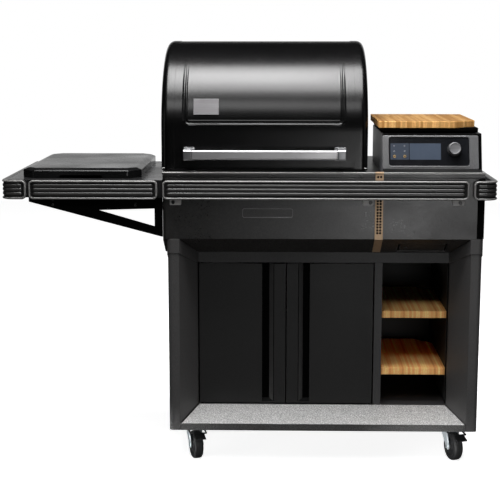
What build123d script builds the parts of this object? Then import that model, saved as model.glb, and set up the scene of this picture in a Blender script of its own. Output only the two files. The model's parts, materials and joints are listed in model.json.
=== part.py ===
from build123d import *
from functools import partial
import math
import os

# Pellet smoker grill on a four-caster cabinet cart.
# Millimetres. +Z up, +X to the right seen from the front, the front faces -Y.
# The origin is the centre of the overall box on the ground.
# A "depth" is a distance behind the front plane; points marked (depth, z) lie in a side view.

# ---------------------------------------------------------------- driving sizes
OVERALL_W = 1499.0             # rail to rail
OVERALL_D = 635.0              # rail front to exhaust duct back
RAIL_END_X = OVERALL_W / 2
SHEET = 2.0                    # common sheet thickness

BODY_X = (-261.0, 710.0)       # cook body, left and right wall
BODY_F, BODY_B = 20.0, 580.0   # depths of its front and back walls
APRON_TOP, APRON_BOT = 905.0, 720.0
CHIN_D, CHIN_Z = 110.0, 665.0  # where the sloping chin ends
DECK_Z = 920.0

RAIL_Z = (841.0, 899.0)
RAIL_T = 18.0
RAIL_R = 40.0                  # outer radius of the rail corners

LID_TOP = 1311.0               # lid crown above ground
LID_X = (-268.0, 361.0)
LID_F, LID_B, LID_BOT = 62.0, 560.0, 924.0
LID_KNEE = 1040.0              # top of the straight front
LID_APEX_D = 400.0
LID_REAR_Z = 1150.0            # top of the straight back
LID_SHEET = 2.5
LID_SEAMS = (-243.0, 336.0)    # inner edges of the end caps
LID_PIVOT = (545.0, 960.0)     # depth, z
LID_PIN_R = 5.0

CART_CX = 230.5                # cart's centre plane
CART_MID_D = 300.0             # depth the legs mirror about
LEG_OUT_X = CART_CX - 477.5    # left legs: outer face
LEG_FLAT_X = CART_CX - 443.5   # where the slanted face begins
LEG_IN_X = CART_CX - 392.5     # inner edge
LEG_CORNER_R = 12.0
LEG_BOT = 115.0
COLLAR_T = 2.4

BAY_L, BAY_R = LEG_IN_X + 1, 2 * CART_CX - LEG_IN_X - 1
BAY_FLOOR = 173.1
BAY_TOP = 631.0
SHELF_Z = (452.0, 268.0)       # undersides of the shelves

DOOR_Z = (178.0, 627.0)
DOOR_D = (112.0, 132.0)
DOOR_PIN_X = (-150.0, 380.0)
DOOR_PIN_D = 119.0
DOOR_PIN_R = 4.0

WHEEL_R = 44.5
WHEEL_W = 30.0
CASTER_TRAIL = 28.0
CASTER_YAW = 18.0
CASTERS = {"fl": (-178.0, 122.0), "fr": (639.0, 122.0),   # x, depth
           "rl": (-178.0, 478.0), "rr": (639.0, 478.0)}
BRAKE_CORNERS = ("fl", "fr")
BRAKE_PIVOT = (-31.0, 94.8)    # caster y, z
BRAKE_PIN_R = 2.0

HOPPER_X = (402.0, 700.0)
HOPPER_TOP = 1037.0
PANEL_LOW, PANEL_HIGH = (27.0, 932.0), (60.0, HOPPER_TOP)  # tilted control panel (depth, z)
KNOB_X, KNOB_Z = 617.0, 989.0
HOPPER_PIVOT = (433.0, 1046.0)  # depth, z
HOPPER_PIN_R = 2.5
HOPPER_PINS_X = ((425.0, 465.0), (620.0, 660.0))

POT_X, POT_D = 46.0, 300.0
AUGER_Z = 758.0
FAN_X, FAN_Z = 610.0, 815.0

TABLE_X = (-731.2, -261.3)
TABLE_D = (18.4, 585.0)
TABLE_TOP = 899.0


# ---------------------------------------------------------------- helpers
def y_at(depth):
    """Y of a depth behind the front plane."""
    return depth - OVERALL_D / 2


def block(x0, x1, y0, y1, z0, z1):
    return Pos((x0 + x1) / 2, (y0 + y1) / 2, (z0 + z1) / 2) * Box(x1 - x0, y1 - y0, z1 - z0)


def rod(x0, x1, y, z, r):
    return Pos((x0 + x1) / 2, y, z) * Rot(0, 90, 0) * Cylinder(r, x1 - x0)


def box(x0, x1, d0, d1, z0, z1):
    return block(x0, x1, y_at(d0), y_at(d1), z0, z1)


def cyl_x(x0, x1, depth, z, r):
    return rod(x0, x1, y_at(depth), z, r)


def cyl_y(x, d0, d1, z, r):
    return Pos(x, (y_at(d0) + y_at(d1)) / 2, z) * Rot(90, 0, 0) * Cylinder(r, d1 - d0)


def cyl_z(x, depth, z0, z1, r):
    return Pos(x, y_at(depth), (z0 + z1) / 2) * Cylinder(r, z1 - z0)


def slab(points, length, direction):
    """Polygon of 3D points run a length along a direction."""
    return extrude(make_face(Polyline(points, close=True)), amount=length, dir=direction)


def prism_x(points, x0, x1):
    """Polygon of (depth, z) points run along X."""
    return slab([(x0, y_at(d), z) for d, z in points], x1 - x0, (1, 0, 0))


def prism_y(points, d0, d1):
    """Polygon of (x, z) points run along Y."""
    return slab([(x, y_at(d0), z) for x, z in points], d1 - d0, (0, 1, 0))


def prism_z(points, z0, z1):
    """Polygon of (x, depth) points run along Z."""
    return slab([(x, y_at(d), z0) for x, d in points], z1 - z0, (0, 0, 1))


def sheet(path, thickness):
    """Closed polygon of a bent sheet: the path, and the path mitred to its left."""
    normals = []
    for (x0, y0), (x1, y1) in zip(path[:-1], path[1:]):
        length = math.hypot(x1 - x0, y1 - y0)
        normals.append((-(y1 - y0) / length, (x1 - x0) / length))
    offset = []
    # The end points repeat their only normal, which leaves them unmitred.
    for (x, y), (ax, ay), (bx, by) in zip(path, normals[:1] + normals, normals + normals[-1:]):
        mitre = thickness / (1 + ax * bx + ay * by)
        offset.append((x + (ax + bx) * mitre, y + (ay + by) * mitre))
    return list(path) + offset[::-1]


def edges_along(shape, axis):
    return shape.edges().filter_by(axis)


def soften(shape, edges, radius):
    """Fillet the edges; the shape stays sharp where the kernel can't build the fillet."""
    try:
        return fillet(edges, radius)
    except Exception:
        return shape


def mirror_cart(shape):
    """Left side of the cart to the right side."""
    return Pos(2 * CART_CX, 0, 0) * mirror(shape, about=Plane.YZ)


PIECES = {}


def piece(build):
    """Register a builder under its function's name; it returns a shape or a tuple of shapes."""
    PIECES[build.__name__] = build
    return build


# ---------------------------------------------------------------- cart
def leg_corner(radius):
    """(x, depth) points round the front left corner, from the front face to the outer face."""
    angles = [math.radians(-90 - 18 * i) for i in range(6)]
    return [(LEG_OUT_X + LEG_CORNER_R + radius * math.cos(a),
             BODY_F + LEG_CORNER_R + radius * math.sin(a)) for a in angles]


@piece
def side_frames():
    """Each side is one bent sheet (front leg, side wall, rear leg) with two caster feet."""
    front = [(LEG_IN_X, 134), (LEG_IN_X, CHIN_D), (LEG_FLAT_X, BODY_F)] + leg_corner(LEG_CORNER_R)
    rear = [(x, 2 * CART_MID_D - d) for x, d in reversed(front)]
    side = prism_z(sheet(front + rear, -SHEET), LEG_BOT, 722)
    under_z = CHIN_Z - 1
    # Trim the top to the underside of the body and its chin.
    side = side - prism_x([(-40, 755.9), (20, 719.2), (CHIN_D + 0.4, under_z),
                           (700, under_z), (700, 900), (-40, 900)], -400, 0)
    for d0, d1 in ((86, 164), (436, 514)):
        side = side + box(-243, -132, d0, d1, LEG_BOT, LEG_BOT + 3)
    return side, mirror_cart(side)


@piece
def leg_collars():
    """A band round the top of each leg, slanted with the chin at the front."""
    hollow = prism_z([(LEG_IN_X + 0.05, 151), (LEG_IN_X + 0.05, 109.97),
                      (LEG_FLAT_X + 0.04, 19.94)] + leg_corner(LEG_CORNER_R + 0.06)
                     + [(LEG_OUT_X - 0.06, 151)], 590, 770)
    solid = prism_z([(LEG_IN_X + COLLAR_T, 134), (LEG_IN_X + COLLAR_T, 109.2),
                     (LEG_FLAT_X + 1.4, BODY_F - COLLAR_T)]
                    + leg_corner(LEG_CORNER_R + COLLAR_T)
                    + [(LEG_OUT_X - COLLAR_T, 134)], 600, 760)
    band = solid - hollow
    slope = (APRON_BOT - CHIN_Z) / (CHIN_D - BODY_F)
    run = CHIN_D - BODY_F
    top = APRON_BOT - COLLAR_T
    low = BAY_TOP - 12
    wedge = prism_x([(-40, top + 60 * slope), (BODY_F, top),
                     (CHIN_D, top - run * slope), (200, top - run * slope),
                     (200, BAY_TOP), (CHIN_D, BAY_TOP),
                     (BODY_F, low + run * slope), (-40, low + (run + 60) * slope)], -400, 0)
    front = band & wedge
    level = band & box(-400, 0, -40, 200, BAY_TOP, 662.6)
    rear = Pos(0, 2 * y_at(CART_MID_D), 0) * mirror(level, about=Plane.XZ)
    return front, rear, mirror_cart(front), mirror_cart(rear)


@piece
def kick_plate():
    """A low front lip that slopes back and up to the cabinet floor."""
    left, right = LEG_FLAT_X, 2 * CART_CX - LEG_FLAT_X
    right_in = 2 * CART_CX - LEG_IN_X
    profile = [(CHIN_D, 150), (CHIN_D, 173.5), (BODY_F, 137), (BODY_F, LEG_BOT), (60, LEG_BOT)]
    plate = prism_x(sheet(profile, SHEET), left - 20, right + 20)
    between_legs = [(left + 0.6, 19), (LEG_IN_X + 0.6, 110.2),
                    (right_in - 0.6, 110.2), (right - 0.6, 19)]
    return plate & prism_z(between_legs, 100, 200)


@piece
def base_pan():
    """Cabinet floor, a tray turned upside down."""
    return (box(BAY_L, BAY_R, 111, 578, 131, 173)
            - box(BAY_L + SHEET, BAY_R - SHEET, 113, 576, 120, 173 - SHEET))


@piece
def cart_top_rail():
    """Channel open at the top and both ends, across the front."""
    return (box(BAY_L + 1.8, BAY_R - 1.8, 112, 150, BAY_TOP, 664)
            - box(BAY_L - 1, BAY_R + 1, 114, 148, BAY_TOP + SHEET, 670))


def add_ledges(shape, x0, x1):
    """Shelf ledges just under each shelf."""
    for z in SHELF_Z:
        shape = shape + box(x0, x1, 160, 500, z - 10, z - 0.1)
    return shape


@piece
def cabinet_shell():
    """Side and back walls in one sheet, with right-hand ledges and a back opening."""
    wall = 1.5
    path = [(BAY_L, 137), (BAY_L, 560), (BAY_R, 560), (BAY_R, 137)]
    shell = prism_z(sheet(path, -wall), BAY_FLOOR, BAY_TOP - 1)
    shell = add_ledges(shell, 608, BAY_R - wall)
    return shell - box(-130, 50, 555, 565, 300, 420)


@piece
def divider_panel():
    """Front post and the wall behind it, with left-hand ledges for the shelves."""
    divider = (box(391, 415, 112, 137, BAY_FLOOR, BAY_TOP - 0.2)
               + box(402, 404, 136, 557, BAY_FLOOR, BAY_TOP - 0.2))
    return add_ledges(divider, 403.5, 414)


@piece
def bamboo_shelves():
    outline = [(416.5, 130), (619.5, 130), (619.5, 462), (560, 521), (416.5, 521)]
    shelves = []
    for z in SHELF_Z:
        board = prism_z(outline, z, z + 21)
        shelves.append(soften(board, edges_along(board, Axis.Z), 3))
    return tuple(shelves)


# ---------------------------------------------------------------- doors
def door(x0, x1, panel_edge, handle_edge, pin_x):
    """Door with a finger channel that runs out at the top, and pin holes top and bottom.
    The two edges are the channel's, on the panel side and on the handle side."""
    bottom, top = DOOR_Z
    sign = 1 if handle_edge > panel_edge else -1
    undercut_x = panel_edge - 14 * sign
    channel = prism_z([(panel_edge, 111), (handle_edge, 111), (handle_edge, 112.4),
                       (handle_edge - 15 * sign, 128), (undercut_x, 128),
                       (undercut_x, 115.5), (panel_edge, 115.5)], bottom + 2, top + 1)
    # The channel's floor slopes down to the front.
    ramp = prism_x([(111, bottom), (111, bottom + 3), (129, bottom + 13), (129, bottom)],
                   min(panel_edge, handle_edge) - 20, max(panel_edge, handle_edge) + 20)
    leaf = box(x0, x1, *DOOR_D, bottom, top) - (channel - ramp)
    for z0, z1 in ((bottom - 1, bottom + 14), (top - 14, top + 1)):
        leaf = leaf - cyl_z(pin_x, DOOR_PIN_D, z0, z1, DOOR_PIN_R + 0.05)
    return leaf


@piece
def door_left():
    return door(-157.0, 113.5, 40.0, 77.5, DOOR_PIN_X[0])


@piece
def door_right():
    return door(117.0, 387.0, 189.0, 153.0, DOOR_PIN_X[1])


# ---------------------------------------------------------------- casters
# Built about the swivel axis at x = y = 0, wheel trailing to -Y, then placed on a corner.
def place(shape, corner):
    x, depth = CASTERS[corner]
    return Pos(x, y_at(depth), 0) * Rot(0, 0, CASTER_YAW) * shape


def slab_yz(points, width):
    """Polygon of caster (y, z) points run along X from 0."""
    return slab([(0, y, z) for y, z in points], width, (1, 0, 0))


@piece
def caster_plates():
    return tuple(box(x - 38, x + 38, d - 32, d + 32, 111, LEG_BOT) + cyl_z(x, d, 99, 112, 6)
                 for x, d in CASTERS.values())


def caster_fork(corner):
    """Crown, swivel housing, two cheeks and the axle; the front ones carry brake lugs."""
    half, cheek_t = 20.5, 2.5
    cheek = slab_yz([(-20, 96.5), (20, 96.5), (16, 80), (-CASTER_TRAIL + 9, WHEEL_R - 4),
                     (-CASTER_TRAIL - 4, WHEEL_R - 9), (-CASTER_TRAIL - 11, WHEEL_R),
                     (-24, 80)], cheek_t)
    fork = block(-half, half, -20, 20, 93, 96.5) + Pos(0, 0, 103.2) * Cylinder(21, 13.6)
    fork = fork + Pos(half - cheek_t, 0, 0) * cheek + Pos(-half, 0, 0) * cheek
    fork = fork - Pos(0, 0, 104) * Cylinder(6.05, 16)
    fork = fork - Pos(0, 0, 94) * Cylinder(9, 8)
    fork = fork + rod(-23.5, 23.5, -CASTER_TRAIL, WHEEL_R, 6)
    if corner in BRAKE_CORNERS:
        lugs = (block(half - cheek_t, half, -34, -15, 92.3, 97)
                + block(-half, cheek_t - half, -34, -15, 92.3, 97))
        stubs = (rod(-27.5, -half, *BRAKE_PIVOT, BRAKE_PIN_R)
                 + rod(half, 27.5, *BRAKE_PIVOT, BRAKE_PIN_R))
        fork = fork + lugs + stubs
    return place(fork, corner)


def caster_wheel(corner):
    """Rounded tyre with a hub, bored for the axle."""
    wheel = rod(-WHEEL_W / 2, WHEEL_W / 2, -CASTER_TRAIL, WHEEL_R, WHEEL_R)
    wheel = soften(wheel, wheel.edges(), 9)
    wheel = wheel + rod(-17.4, 17.4, -CASTER_TRAIL, WHEEL_R, 13)
    wheel = wheel - rod(-20, 20, -CASTER_TRAIL, WHEEL_R, 6.05)
    return place(wheel, corner)


def caster_brake(corner):
    """Brake pedal over the tread, on two arms hinged at the fork crown."""
    arm_t, half = 3, 26.5
    pedal = Pos(-17, 0, 0) * slab_yz([(-60, 89.5), (-90, 77.5), (-91.2, 80.3), (-61, 92.3)], 34)
    arm = slab_yz([(-28, 92), (-61, 87), (-61, 92), (-36, 98.5), (-28, 98.5)], arm_t)
    for x in (-half, half - arm_t):
        pedal = pedal + Pos(x, 0, 0) * arm
    pedal = pedal + block(-half, half, -64, -60.2, 87.5, 91.5)
    pedal = pedal - rod(-40, 40, *BRAKE_PIVOT, BRAKE_PIN_R + 0.06)
    return place(pedal, corner)


for corner in CASTERS:
    if corner in BRAKE_CORNERS:
        PIECES["caster_brake_" + corner] = partial(caster_brake, corner)
    PIECES["caster_fork_" + corner] = partial(caster_fork, corner)
    PIECES["caster_wheel_" + corner] = partial(caster_wheel, corner)


# ---------------------------------------------------------------- cook body
@piece
def body_shell():
    """Open-topped body with the sloping chin, and openings for keg, hatch and duct."""
    outer = [(BODY_F, APRON_TOP), (BODY_F, APRON_BOT), (CHIN_D, CHIN_Z),
             (BODY_B, CHIN_Z), (BODY_B, APRON_TOP)]
    inner = [(BODY_F + SHEET, APRON_TOP + 1), (BODY_F + SHEET, APRON_BOT + 1.2),
             (CHIN_D + 0.6, CHIN_Z + SHEET), (BODY_B - SHEET, CHIN_Z + SHEET),
             (BODY_B - SHEET, APRON_TOP + 1)]
    left, right = BODY_X
    body = prism_x(outer, left, right)
    body = soften(body, edges_along(body, Axis.Z).group_by(Axis.Y)[0], 10)
    body = body - prism_x(inner, left + SHEET, right - SHEET)
    body = body - cyl_z(POT_X, POT_D, 600, 690, 66)
    body = body - prism_x([(47, 690), (101, 657), (106, 700), (60, 730)], 457, 606)
    return body - box(0, 90, 570, 590, 800, 850)


@piece
def deck_frame():
    """Flat top frame with openings for chamber and hopper, and the lid's hinge ears."""
    left, right = BODY_X
    deck = (box(left, right, 30, 576, APRON_TOP, DECK_Z)
            - box(left + SHEET, right - SHEET, 32, 574, 890, DECK_Z - SHEET))
    deck = deck - box(-240, 340, 82, 526, 880, 930) - box(410, 692, 68, 418, 880, 930)
    ear_left, ear_right, ear_t = -277, 364, 5
    ear_d = (528, 562)
    for x in (ear_left, ear_right):
        ear = box(x, x + ear_t, *ear_d, DECK_Z - 5, 972)
        deck = deck + soften(ear, edges_along(ear, Axis.X).group_by(Axis.Z)[-1], 12)
    # The left ear stands clear of the deck, so a tab reaches out to it.
    deck = deck + box(ear_left, left + 1, *ear_d, DECK_Z - 5, DECK_Z)
    for x0, x1 in ((-290, -265), (358, 380)):
        deck = deck - cyl_x(x0, x1, *LID_PIVOT, LID_PIN_R)
    return deck


@piece
def cook_tub():
    """Inner liner, with ledges for the main grate and racks for the upper ones."""
    outer = [(48, 917), (48, 745), (150, 702), (470, 702), (556, 745), (556, 917)]
    inner = [(50, 930), (50, 746.3), (150.4, 704), (469.5, 704), (554, 746.3), (554, 930)]
    tub = prism_x(outer, -246, 346) - prism_x(inner, -244, 344)
    for x0, x1 in ((-244, -232), (328, 344)):
        tub = tub + box(x0, x1, 70, 530, 862, 867)
    tub = tub - cyl_z(POT_X, POT_D, 690, 720, 62.3) - cyl_x(330, 360, POT_D, AUGER_Z, 30.4)
    # Racks: post x range, then the range of the runners that reach inwards from it.
    for posts_x, runners_x in (((-234, -230), (-234, -225)), ((326, 330), (321, 330))):
        for d in (240, 480):
            tub = tub + box(*posts_x, d, d + 6, 862, 1078)
        for z in (969, 1074):
            tub = tub + box(*runners_x, 240, 486, z, z + 5)
    return tub


def grate(x0, x1, d0, d1, z):
    """Plate cut into bars, with a rim and a cross bar at mid depth."""
    bar, thickness, columns = 6.0, 6, 26
    pitch = (x1 - x0 - bar) / columns
    middle = (d0 + d1) / 2
    slots = []
    for i in range(columns):
        start = x0 + bar + i * pitch
        for s0, s1 in ((d0 + bar, middle - bar / 2), (middle + bar / 2, d1 - bar)):
            slots.append(box(start, start + pitch - bar, s0, s1, z - 1, z + thickness + 1))
    return box(x0, x1, d0, d1, z, z + thickness) - slots


@piece
def cooking_grates():
    upper = (-229.5, 325.5, 236, 500)
    return grate(-224, 324, 62, 535, 868), grate(*upper, 974.1), grate(*upper, 1079.1)


@piece
def fire_pot():
    """Cup with an auger opening, a ring of air holes, a floor hole and a rod on its left."""
    radius, wall = 62, 4
    pot = (cyl_z(POT_X, POT_D, 692, 800, radius)
           - cyl_z(POT_X, POT_D, 696, 801, radius - wall))
    pot = pot - cyl_x(POT_X + 40, POT_X + 90, POT_D, AUGER_Z, 27)
    for i in range(12):
        pot = pot - (Pos(POT_X, y_at(POT_D), 715) * Rot(0, 0, 15 + 30 * i)
                     * Pos(radius - wall / 2, 0, 0) * Rot(0, 90, 0) * Cylinder(4, 12))
    pot = pot - cyl_z(POT_X, POT_D, 690, 700, 16)
    return pot + cyl_x(POT_X - 110, POT_X - 56, POT_D, 725, 5)


@piece
def heat_deflector():
    return prism_y(sheet([(-110, 806), (-90, 826), (182, 826), (202, 806)], SHEET), 190, 410)


@piece
def drip_tray():
    profile = sheet([(534, 851), (534, 835), (66, 841), (66, 851)], 1.5)
    return prism_x(profile, -226, 326) & box(-226, 326, 60, 540, 830, 856)


# ---------------------------------------------------------------- pellet feed
@piece
def auger_tube():
    """Tube with a slot in its top under the hopper."""
    return (cyl_x(110, 640, POT_D, AUGER_Z, 30) - cyl_x(100, 650, POT_D, AUGER_Z, 27)
            - box(508, 552, 280, 320, AUGER_Z, 800))


@piece
def auger_screw():
    """Shaft with a row of tilted discs for flights."""
    screw = cyl_x(114, 652, POT_D, AUGER_Z, 6)
    first_x, pitch, tilt = 130, 31, 14
    for i in range(16):
        screw = screw + (Pos(first_x + pitch * i, y_at(POT_D), AUGER_Z)
                         * Rot(0, 90 + tilt, 0) * Cylinder(23.5, 2.5))
    return screw


@piece
def auger_motor():
    """Gearbox with a shaft socket, and the motor above it."""
    motor = box(642, 704, 268, 332, 722, 794) - cyl_x(640, 655, POT_D, AUGER_Z, 6.07)
    return motor + cyl_x(660, 700, POT_D, 820, 24) + box(664, 696, 285, 315, 790, 805)


def bin_solid(inset, bottom, top):
    """Box, funnel and throat in one, each side moved in by inset."""
    funnel_z = (796, 930)
    mouth, throat = [(x0 + inset, x1 - inset, d0 + inset, d1 - inset)
                     for x0, x1, d0, d1 in ((417, 685, 76, 408), (504, 556, 276, 324))]
    wires = []
    for (x0, x1, d0, d1), z in zip((throat, mouth), funnel_z):
        corners = [(x0, d0), (x1, d0), (x1, d1), (x0, d1)]
        wires.append(Wire.make_polygon([(x, y_at(d), z) for x, d in corners], close=True))
    funnel = Solid.make_loft(wires, ruled=True)
    return box(*mouth, funnel_z[1], top) + funnel + box(*throat, bottom, funnel_z[0])


@piece
def hopper_bin():
    return bin_solid(0, 789, 1034) - bin_solid(1.5, 780, 1040)


@piece
def fan_housing():
    """Blower scroll with an outlet on the left, a rear inlet and a fixed spindle."""
    x, z = FAN_X, FAN_Z
    cavity = cyl_y(x, 448, 494, z, 54)
    fan = cyl_y(x, 446, 496, z, 56) - cavity
    fan = fan + box(x - 90, x - 30, 446, 496, z - 56, z - 26)
    fan = fan - box(x - 91, x - 30, 448, 494, z - 54, z - 28) - cavity
    fan = fan - cyl_y(x, 493, 500, z, 26)
    return fan + cyl_y(x, 447, 486, z, 3)


@piece
def fan_impeller():
    """Back disc, hub and twelve radial blades."""
    impeller = cyl_y(FAN_X, 452, 455, FAN_Z, 44) + cyl_y(FAN_X, 452, 484, FAN_Z, 9)
    for i in range(12):
        impeller = impeller + (Pos(FAN_X, 0, FAN_Z) * Rot(0, 30 * i, 0)
                               * Pos(35, y_at(469), 0) * Box(18, 30, 2))
    return impeller - cyl_y(FAN_X, 440, 500, FAN_Z, 3.06)


@piece
def exhaust_duct():
    """Box on the back wall, open downwards and to the body."""
    return (box(-120, 210, BODY_B, OVERALL_D, 745, 885)
            - box(-118, 208, 570, OVERALL_D - SHEET, 740, 883))


# ---------------------------------------------------------------- front dressing
@piece
def vent_strip():
    """Strip down the apron and chin: six clusters of four holes and a pair at the top."""
    path = [(BODY_F, 921), (BODY_F, APRON_BOT), (CHIN_D - 2, CHIN_Z + 1.22)]
    cluster_z = (832.2, 814.5, 796.3, 778.7, 761.0, 743.2)
    rows = [z + dz for z in cluster_z for dz in (-4.3, 4.3)] + [909.5]
    holes = [cyl_y(393.2 + dx, 10, 30, z, 2.8) for z in rows for dx in (-4.8, 4.8)]
    return prism_x(sheet(path, -1.4), 381, 405.5) - holes


# Ribbed rail section: depth, height above the rail's bottom.
RAIL_SECTION = [
    (RAIL_T, 0), (3, 0), (0, 3), (0, 6), (3, 9), (3, 12.5), (1, 14.5), (1, 18.5),
    (3, 20.5), (3, 25), (1, 27), (1, 31), (3, 33), (3, 37.5), (1, 39.5), (1, 43.5),
    (3, 45.5), (3, 49), (0, 52), (0, 55), (3, 58), (RAIL_T, 58)]
RAIL_PROFILE = [(d, RAIL_Z[0] + rise) for d, rise in RAIL_SECTION]


def rail_run(x0, x1, cap_left=True, cap_right=True):
    """Straight rail along the front, with flush blocks at its capped ends."""
    run = prism_x(RAIL_PROFILE, x0, x1)
    cap_z = (RAIL_Z[0] + 3, RAIL_Z[1] - 3)
    if cap_left:
        run = run + box(x0, x0 + 6, 0, RAIL_T, *cap_z)
    if cap_right:
        run = run + box(x1 - 6, x1, 0, RAIL_T, *cap_z)
    return run


def corner_rail(side, start_x, depth):
    """Rail from start_x round a front corner and back to a depth; side is -1 left, +1 right."""
    bend_x = side * (RAIL_END_X - RAIL_R)
    front = rail_run(min(start_x, bend_x), max(start_x, bend_x), side > 0, side < 0)
    section = make_face(Polyline([(bend_x, y_at(d), z) for d, z in RAIL_PROFILE], close=True))
    bend = revolve(section, axis=Axis((bend_x, y_at(RAIL_R), 0), (0, 0, 1)),
                   revolution_arc=90 * side)
    straight = prism_y([(side * (RAIL_END_X - d), z) for d, z in RAIL_PROFILE], RAIL_R, depth)
    return front + bend + straight


@piece
def ribbed_rails():
    main = rail_run(-260, 661)
    # Tabs below the main rail, against the apron.
    for x0, x1 in ((-238.5, -204), (344, 376), (613.5, 648)):
        main = main + box(x0, x1, 13, BODY_F - 0.02, 823.5, RAIL_Z[0] + 2)
    # Room behind the rail.
    main = main - box(378, 401, 17, 21, 800, 930)
    return main, rail_run(-664, -275), corner_rail(-1, -671, 590), corner_rail(1, 675, 500)


@piece
def nameplate():
    return prism_y([(-19.6, 791), (-13.6, 785), (128, 785), (134, 791),
                    (134, 808), (128, 814), (-13.6, 814), (-19.6, 808)], 17, BODY_F)


# ---------------------------------------------------------------- hopper and controls
@piece
def hopper_housing():
    """Housing with panel, bin and switch openings, and two pairs of lid hinge ears."""
    front, back = PANEL_LOW[0], 430
    left, right = HOPPER_X
    outer = [(front, DECK_Z), PANEL_LOW, PANEL_HIGH, (back, HOPPER_TOP), (back, DECK_Z)]
    inner = [(front + SHEET, DECK_Z - 1), (front + SHEET, 932.3),
             (PANEL_HIGH[0] + SHEET, HOPPER_TOP - SHEET),
             (back - SHEET, HOPPER_TOP - SHEET), (back - SHEET, DECK_Z - 1)]
    housing = prism_x(outer, left, right) - prism_x(inner, left + SHEET, right - SHEET)
    housing = housing - prism_x([(10, 942), (60, 942), (80, 1026), (10, 1026)], 424, 661)
    housing = housing - box(414, 688, 73, 411, 1030, 1040)
    housing = housing - box(629, 651, 425, 435, 951, 969)
    for x in (425.0, 460.6, 620.0, 655.6):
        ear = box(x, x + 4.4, 428, 438, 1036.9, 1051)
        housing = housing + ear + box(x, x + 4.4, 424, 438, 1032, 1037)
    for x0, x1 in HOPPER_PINS_X:
        housing = housing - cyl_x(x0 - 5, x1 + 5, *HOPPER_PIVOT, HOPPER_PIN_R)
    return housing


@piece
def power_rocker():
    """Rocker in the back wall of the hopper housing."""
    rocker = box(630, 650, 424, 433, 952, 968)
    rocker = soften(rocker, edges_along(rocker, Axis.X).group_by(Axis.Y)[-1], 3)
    return rocker & cyl_x(620, 660, 427, 960, 7.9)


PANEL_LEN = math.dist(PANEL_LOW, PANEL_HIGH)
PANEL_UP_Y = (PANEL_HIGH[0] - PANEL_LOW[0]) / PANEL_LEN
PANEL_UP_Z = (PANEL_HIGH[1] - PANEL_LOW[1]) / PANEL_LEN
PANEL_CX = sum(HOPPER_X) / 2
PANEL = Plane(origin=(PANEL_CX, y_at(PANEL_LOW[0]), PANEL_LOW[1]), x_dir=(1, 0, 0),
              z_dir=(0, -PANEL_UP_Z, PANEL_UP_Y))
KNOB_UP = (KNOB_Z - PANEL_LOW[1]) / PANEL_UP_Z   # knob's distance up the panel


def panel_box(x0, x1, up0, up1, out0, out1):
    """Box on the tilted panel: x across, up the panel, out of it."""
    return PANEL * block(x0 - PANEL_CX, x1 - PANEL_CX, up0, up1, out0, out1)


def panel_cyl(x, up, out0, out1, r):
    return PANEL * (Pos(x - PANEL_CX, up, (out0 + out1) / 2) * Cylinder(r, out1 - out0))


@piece
def control_bezel():
    bezel = (panel_box(*HOPPER_X, 0, PANEL_LEN, 0, 5)
             - panel_box(421.5, 662.5, 9.5, 97.5, -1, 6))
    ends = bezel.edges().group_by(Axis.X)
    return soften(bezel, ends[0] + ends[-1], 1.2)


@piece
def control_glass():
    """Glass with a hole for the dial and two small ones on the left."""
    glass = panel_box(421.8, 662.2, 9.8, 97.2, 0.6, 3.8) - panel_cyl(KNOB_X, KNOB_UP, -1, 6, 6)
    for x in (438, 469):
        glass = glass - panel_cyl(x, 38.7, -1, 6, 2.6)
    return glass


@piece
def dial_ring():
    """Flange with a shaft behind it and a stub in front for the cap."""
    ring = (panel_cyl(KNOB_X, KNOB_UP, 5.2, 9.2, 21)
            + panel_cyl(KNOB_X, KNOB_UP, -6, 5.3, 5.9))
    return ring + panel_cyl(KNOB_X, KNOB_UP, 9.1, 18, 3)


@piece
def dial_cap():
    return (panel_cyl(KNOB_X, KNOB_UP, 9.3, 25, 19)
            - panel_cyl(KNOB_X, KNOB_UP, 9, 18.4, 3.05))


@piece
def hopper_lid_base():
    """Hollow lid with a barrel between each pair of hinge ears."""
    profile = [(62, 1046), (66, 1039.2), (425, 1039.2), (425, 1054), (62, 1054)]
    base = prism_x(profile, 404, 690)
    base = base - box(407, 687, 70, 421, 1030, 1051)
    for x0, x1 in ((429.6, 460.4), (624.6, 655.4)):
        base = base + box(x0, x1, 424, 434, 1043, 1050) + cyl_x(x0, x1, *HOPPER_PIVOT, 5.5)
    for x0, x1 in HOPPER_PINS_X:
        base = base - cyl_x(x0 - 5, x1 + 5, *HOPPER_PIVOT, HOPPER_PIN_R + 0.06)
    return base


@piece
def hopper_lid_board():
    board = prism_z([(392, 68), (398, 60), (620, 60), (686, 108), (686, 415), (392, 415)],
                    1054, 1073.5)
    board = soften(board, edges_along(board, Axis.Z), 4)
    return soften(board, board.edges().group_by(Axis.Z)[-1], 1.5)


@piece
def chute_hatch():
    """Clean-out hatch in the chin, hinged at its front edge."""
    x0, x1 = 462, 601
    hatch = prism_x([(54.0, 699.5), (96.0, 673.8), (97.0, 675.5), (55.0, 701.2)], x0, x1)
    return hatch + cyl_x(x0, x1, 55.2, 702.0, 1.9) + cyl_x(478, 486, 78, 684.5, 3)


@piece
def ash_keg():
    """Keg under the fire pot, with a rim ring and a front handle."""
    keg = cyl_z(POT_X, POT_D, 440, 655, 76) - cyl_z(POT_X, POT_D, 442, 660, 74)
    keg = keg + (cyl_z(POT_X, POT_D, 655, 664.6, 84) - cyl_z(POT_X, POT_D, 650, 668, 70))
    for d0, d1, z0, z1 in ((215, 225.5, 560, 566), (215, 225.5, 500, 506),
                           (211, 215.5, 500, 566)):
        keg = keg + box(POT_X - 12, POT_X + 12, d0, d1, z0, z1)
    return keg


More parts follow.
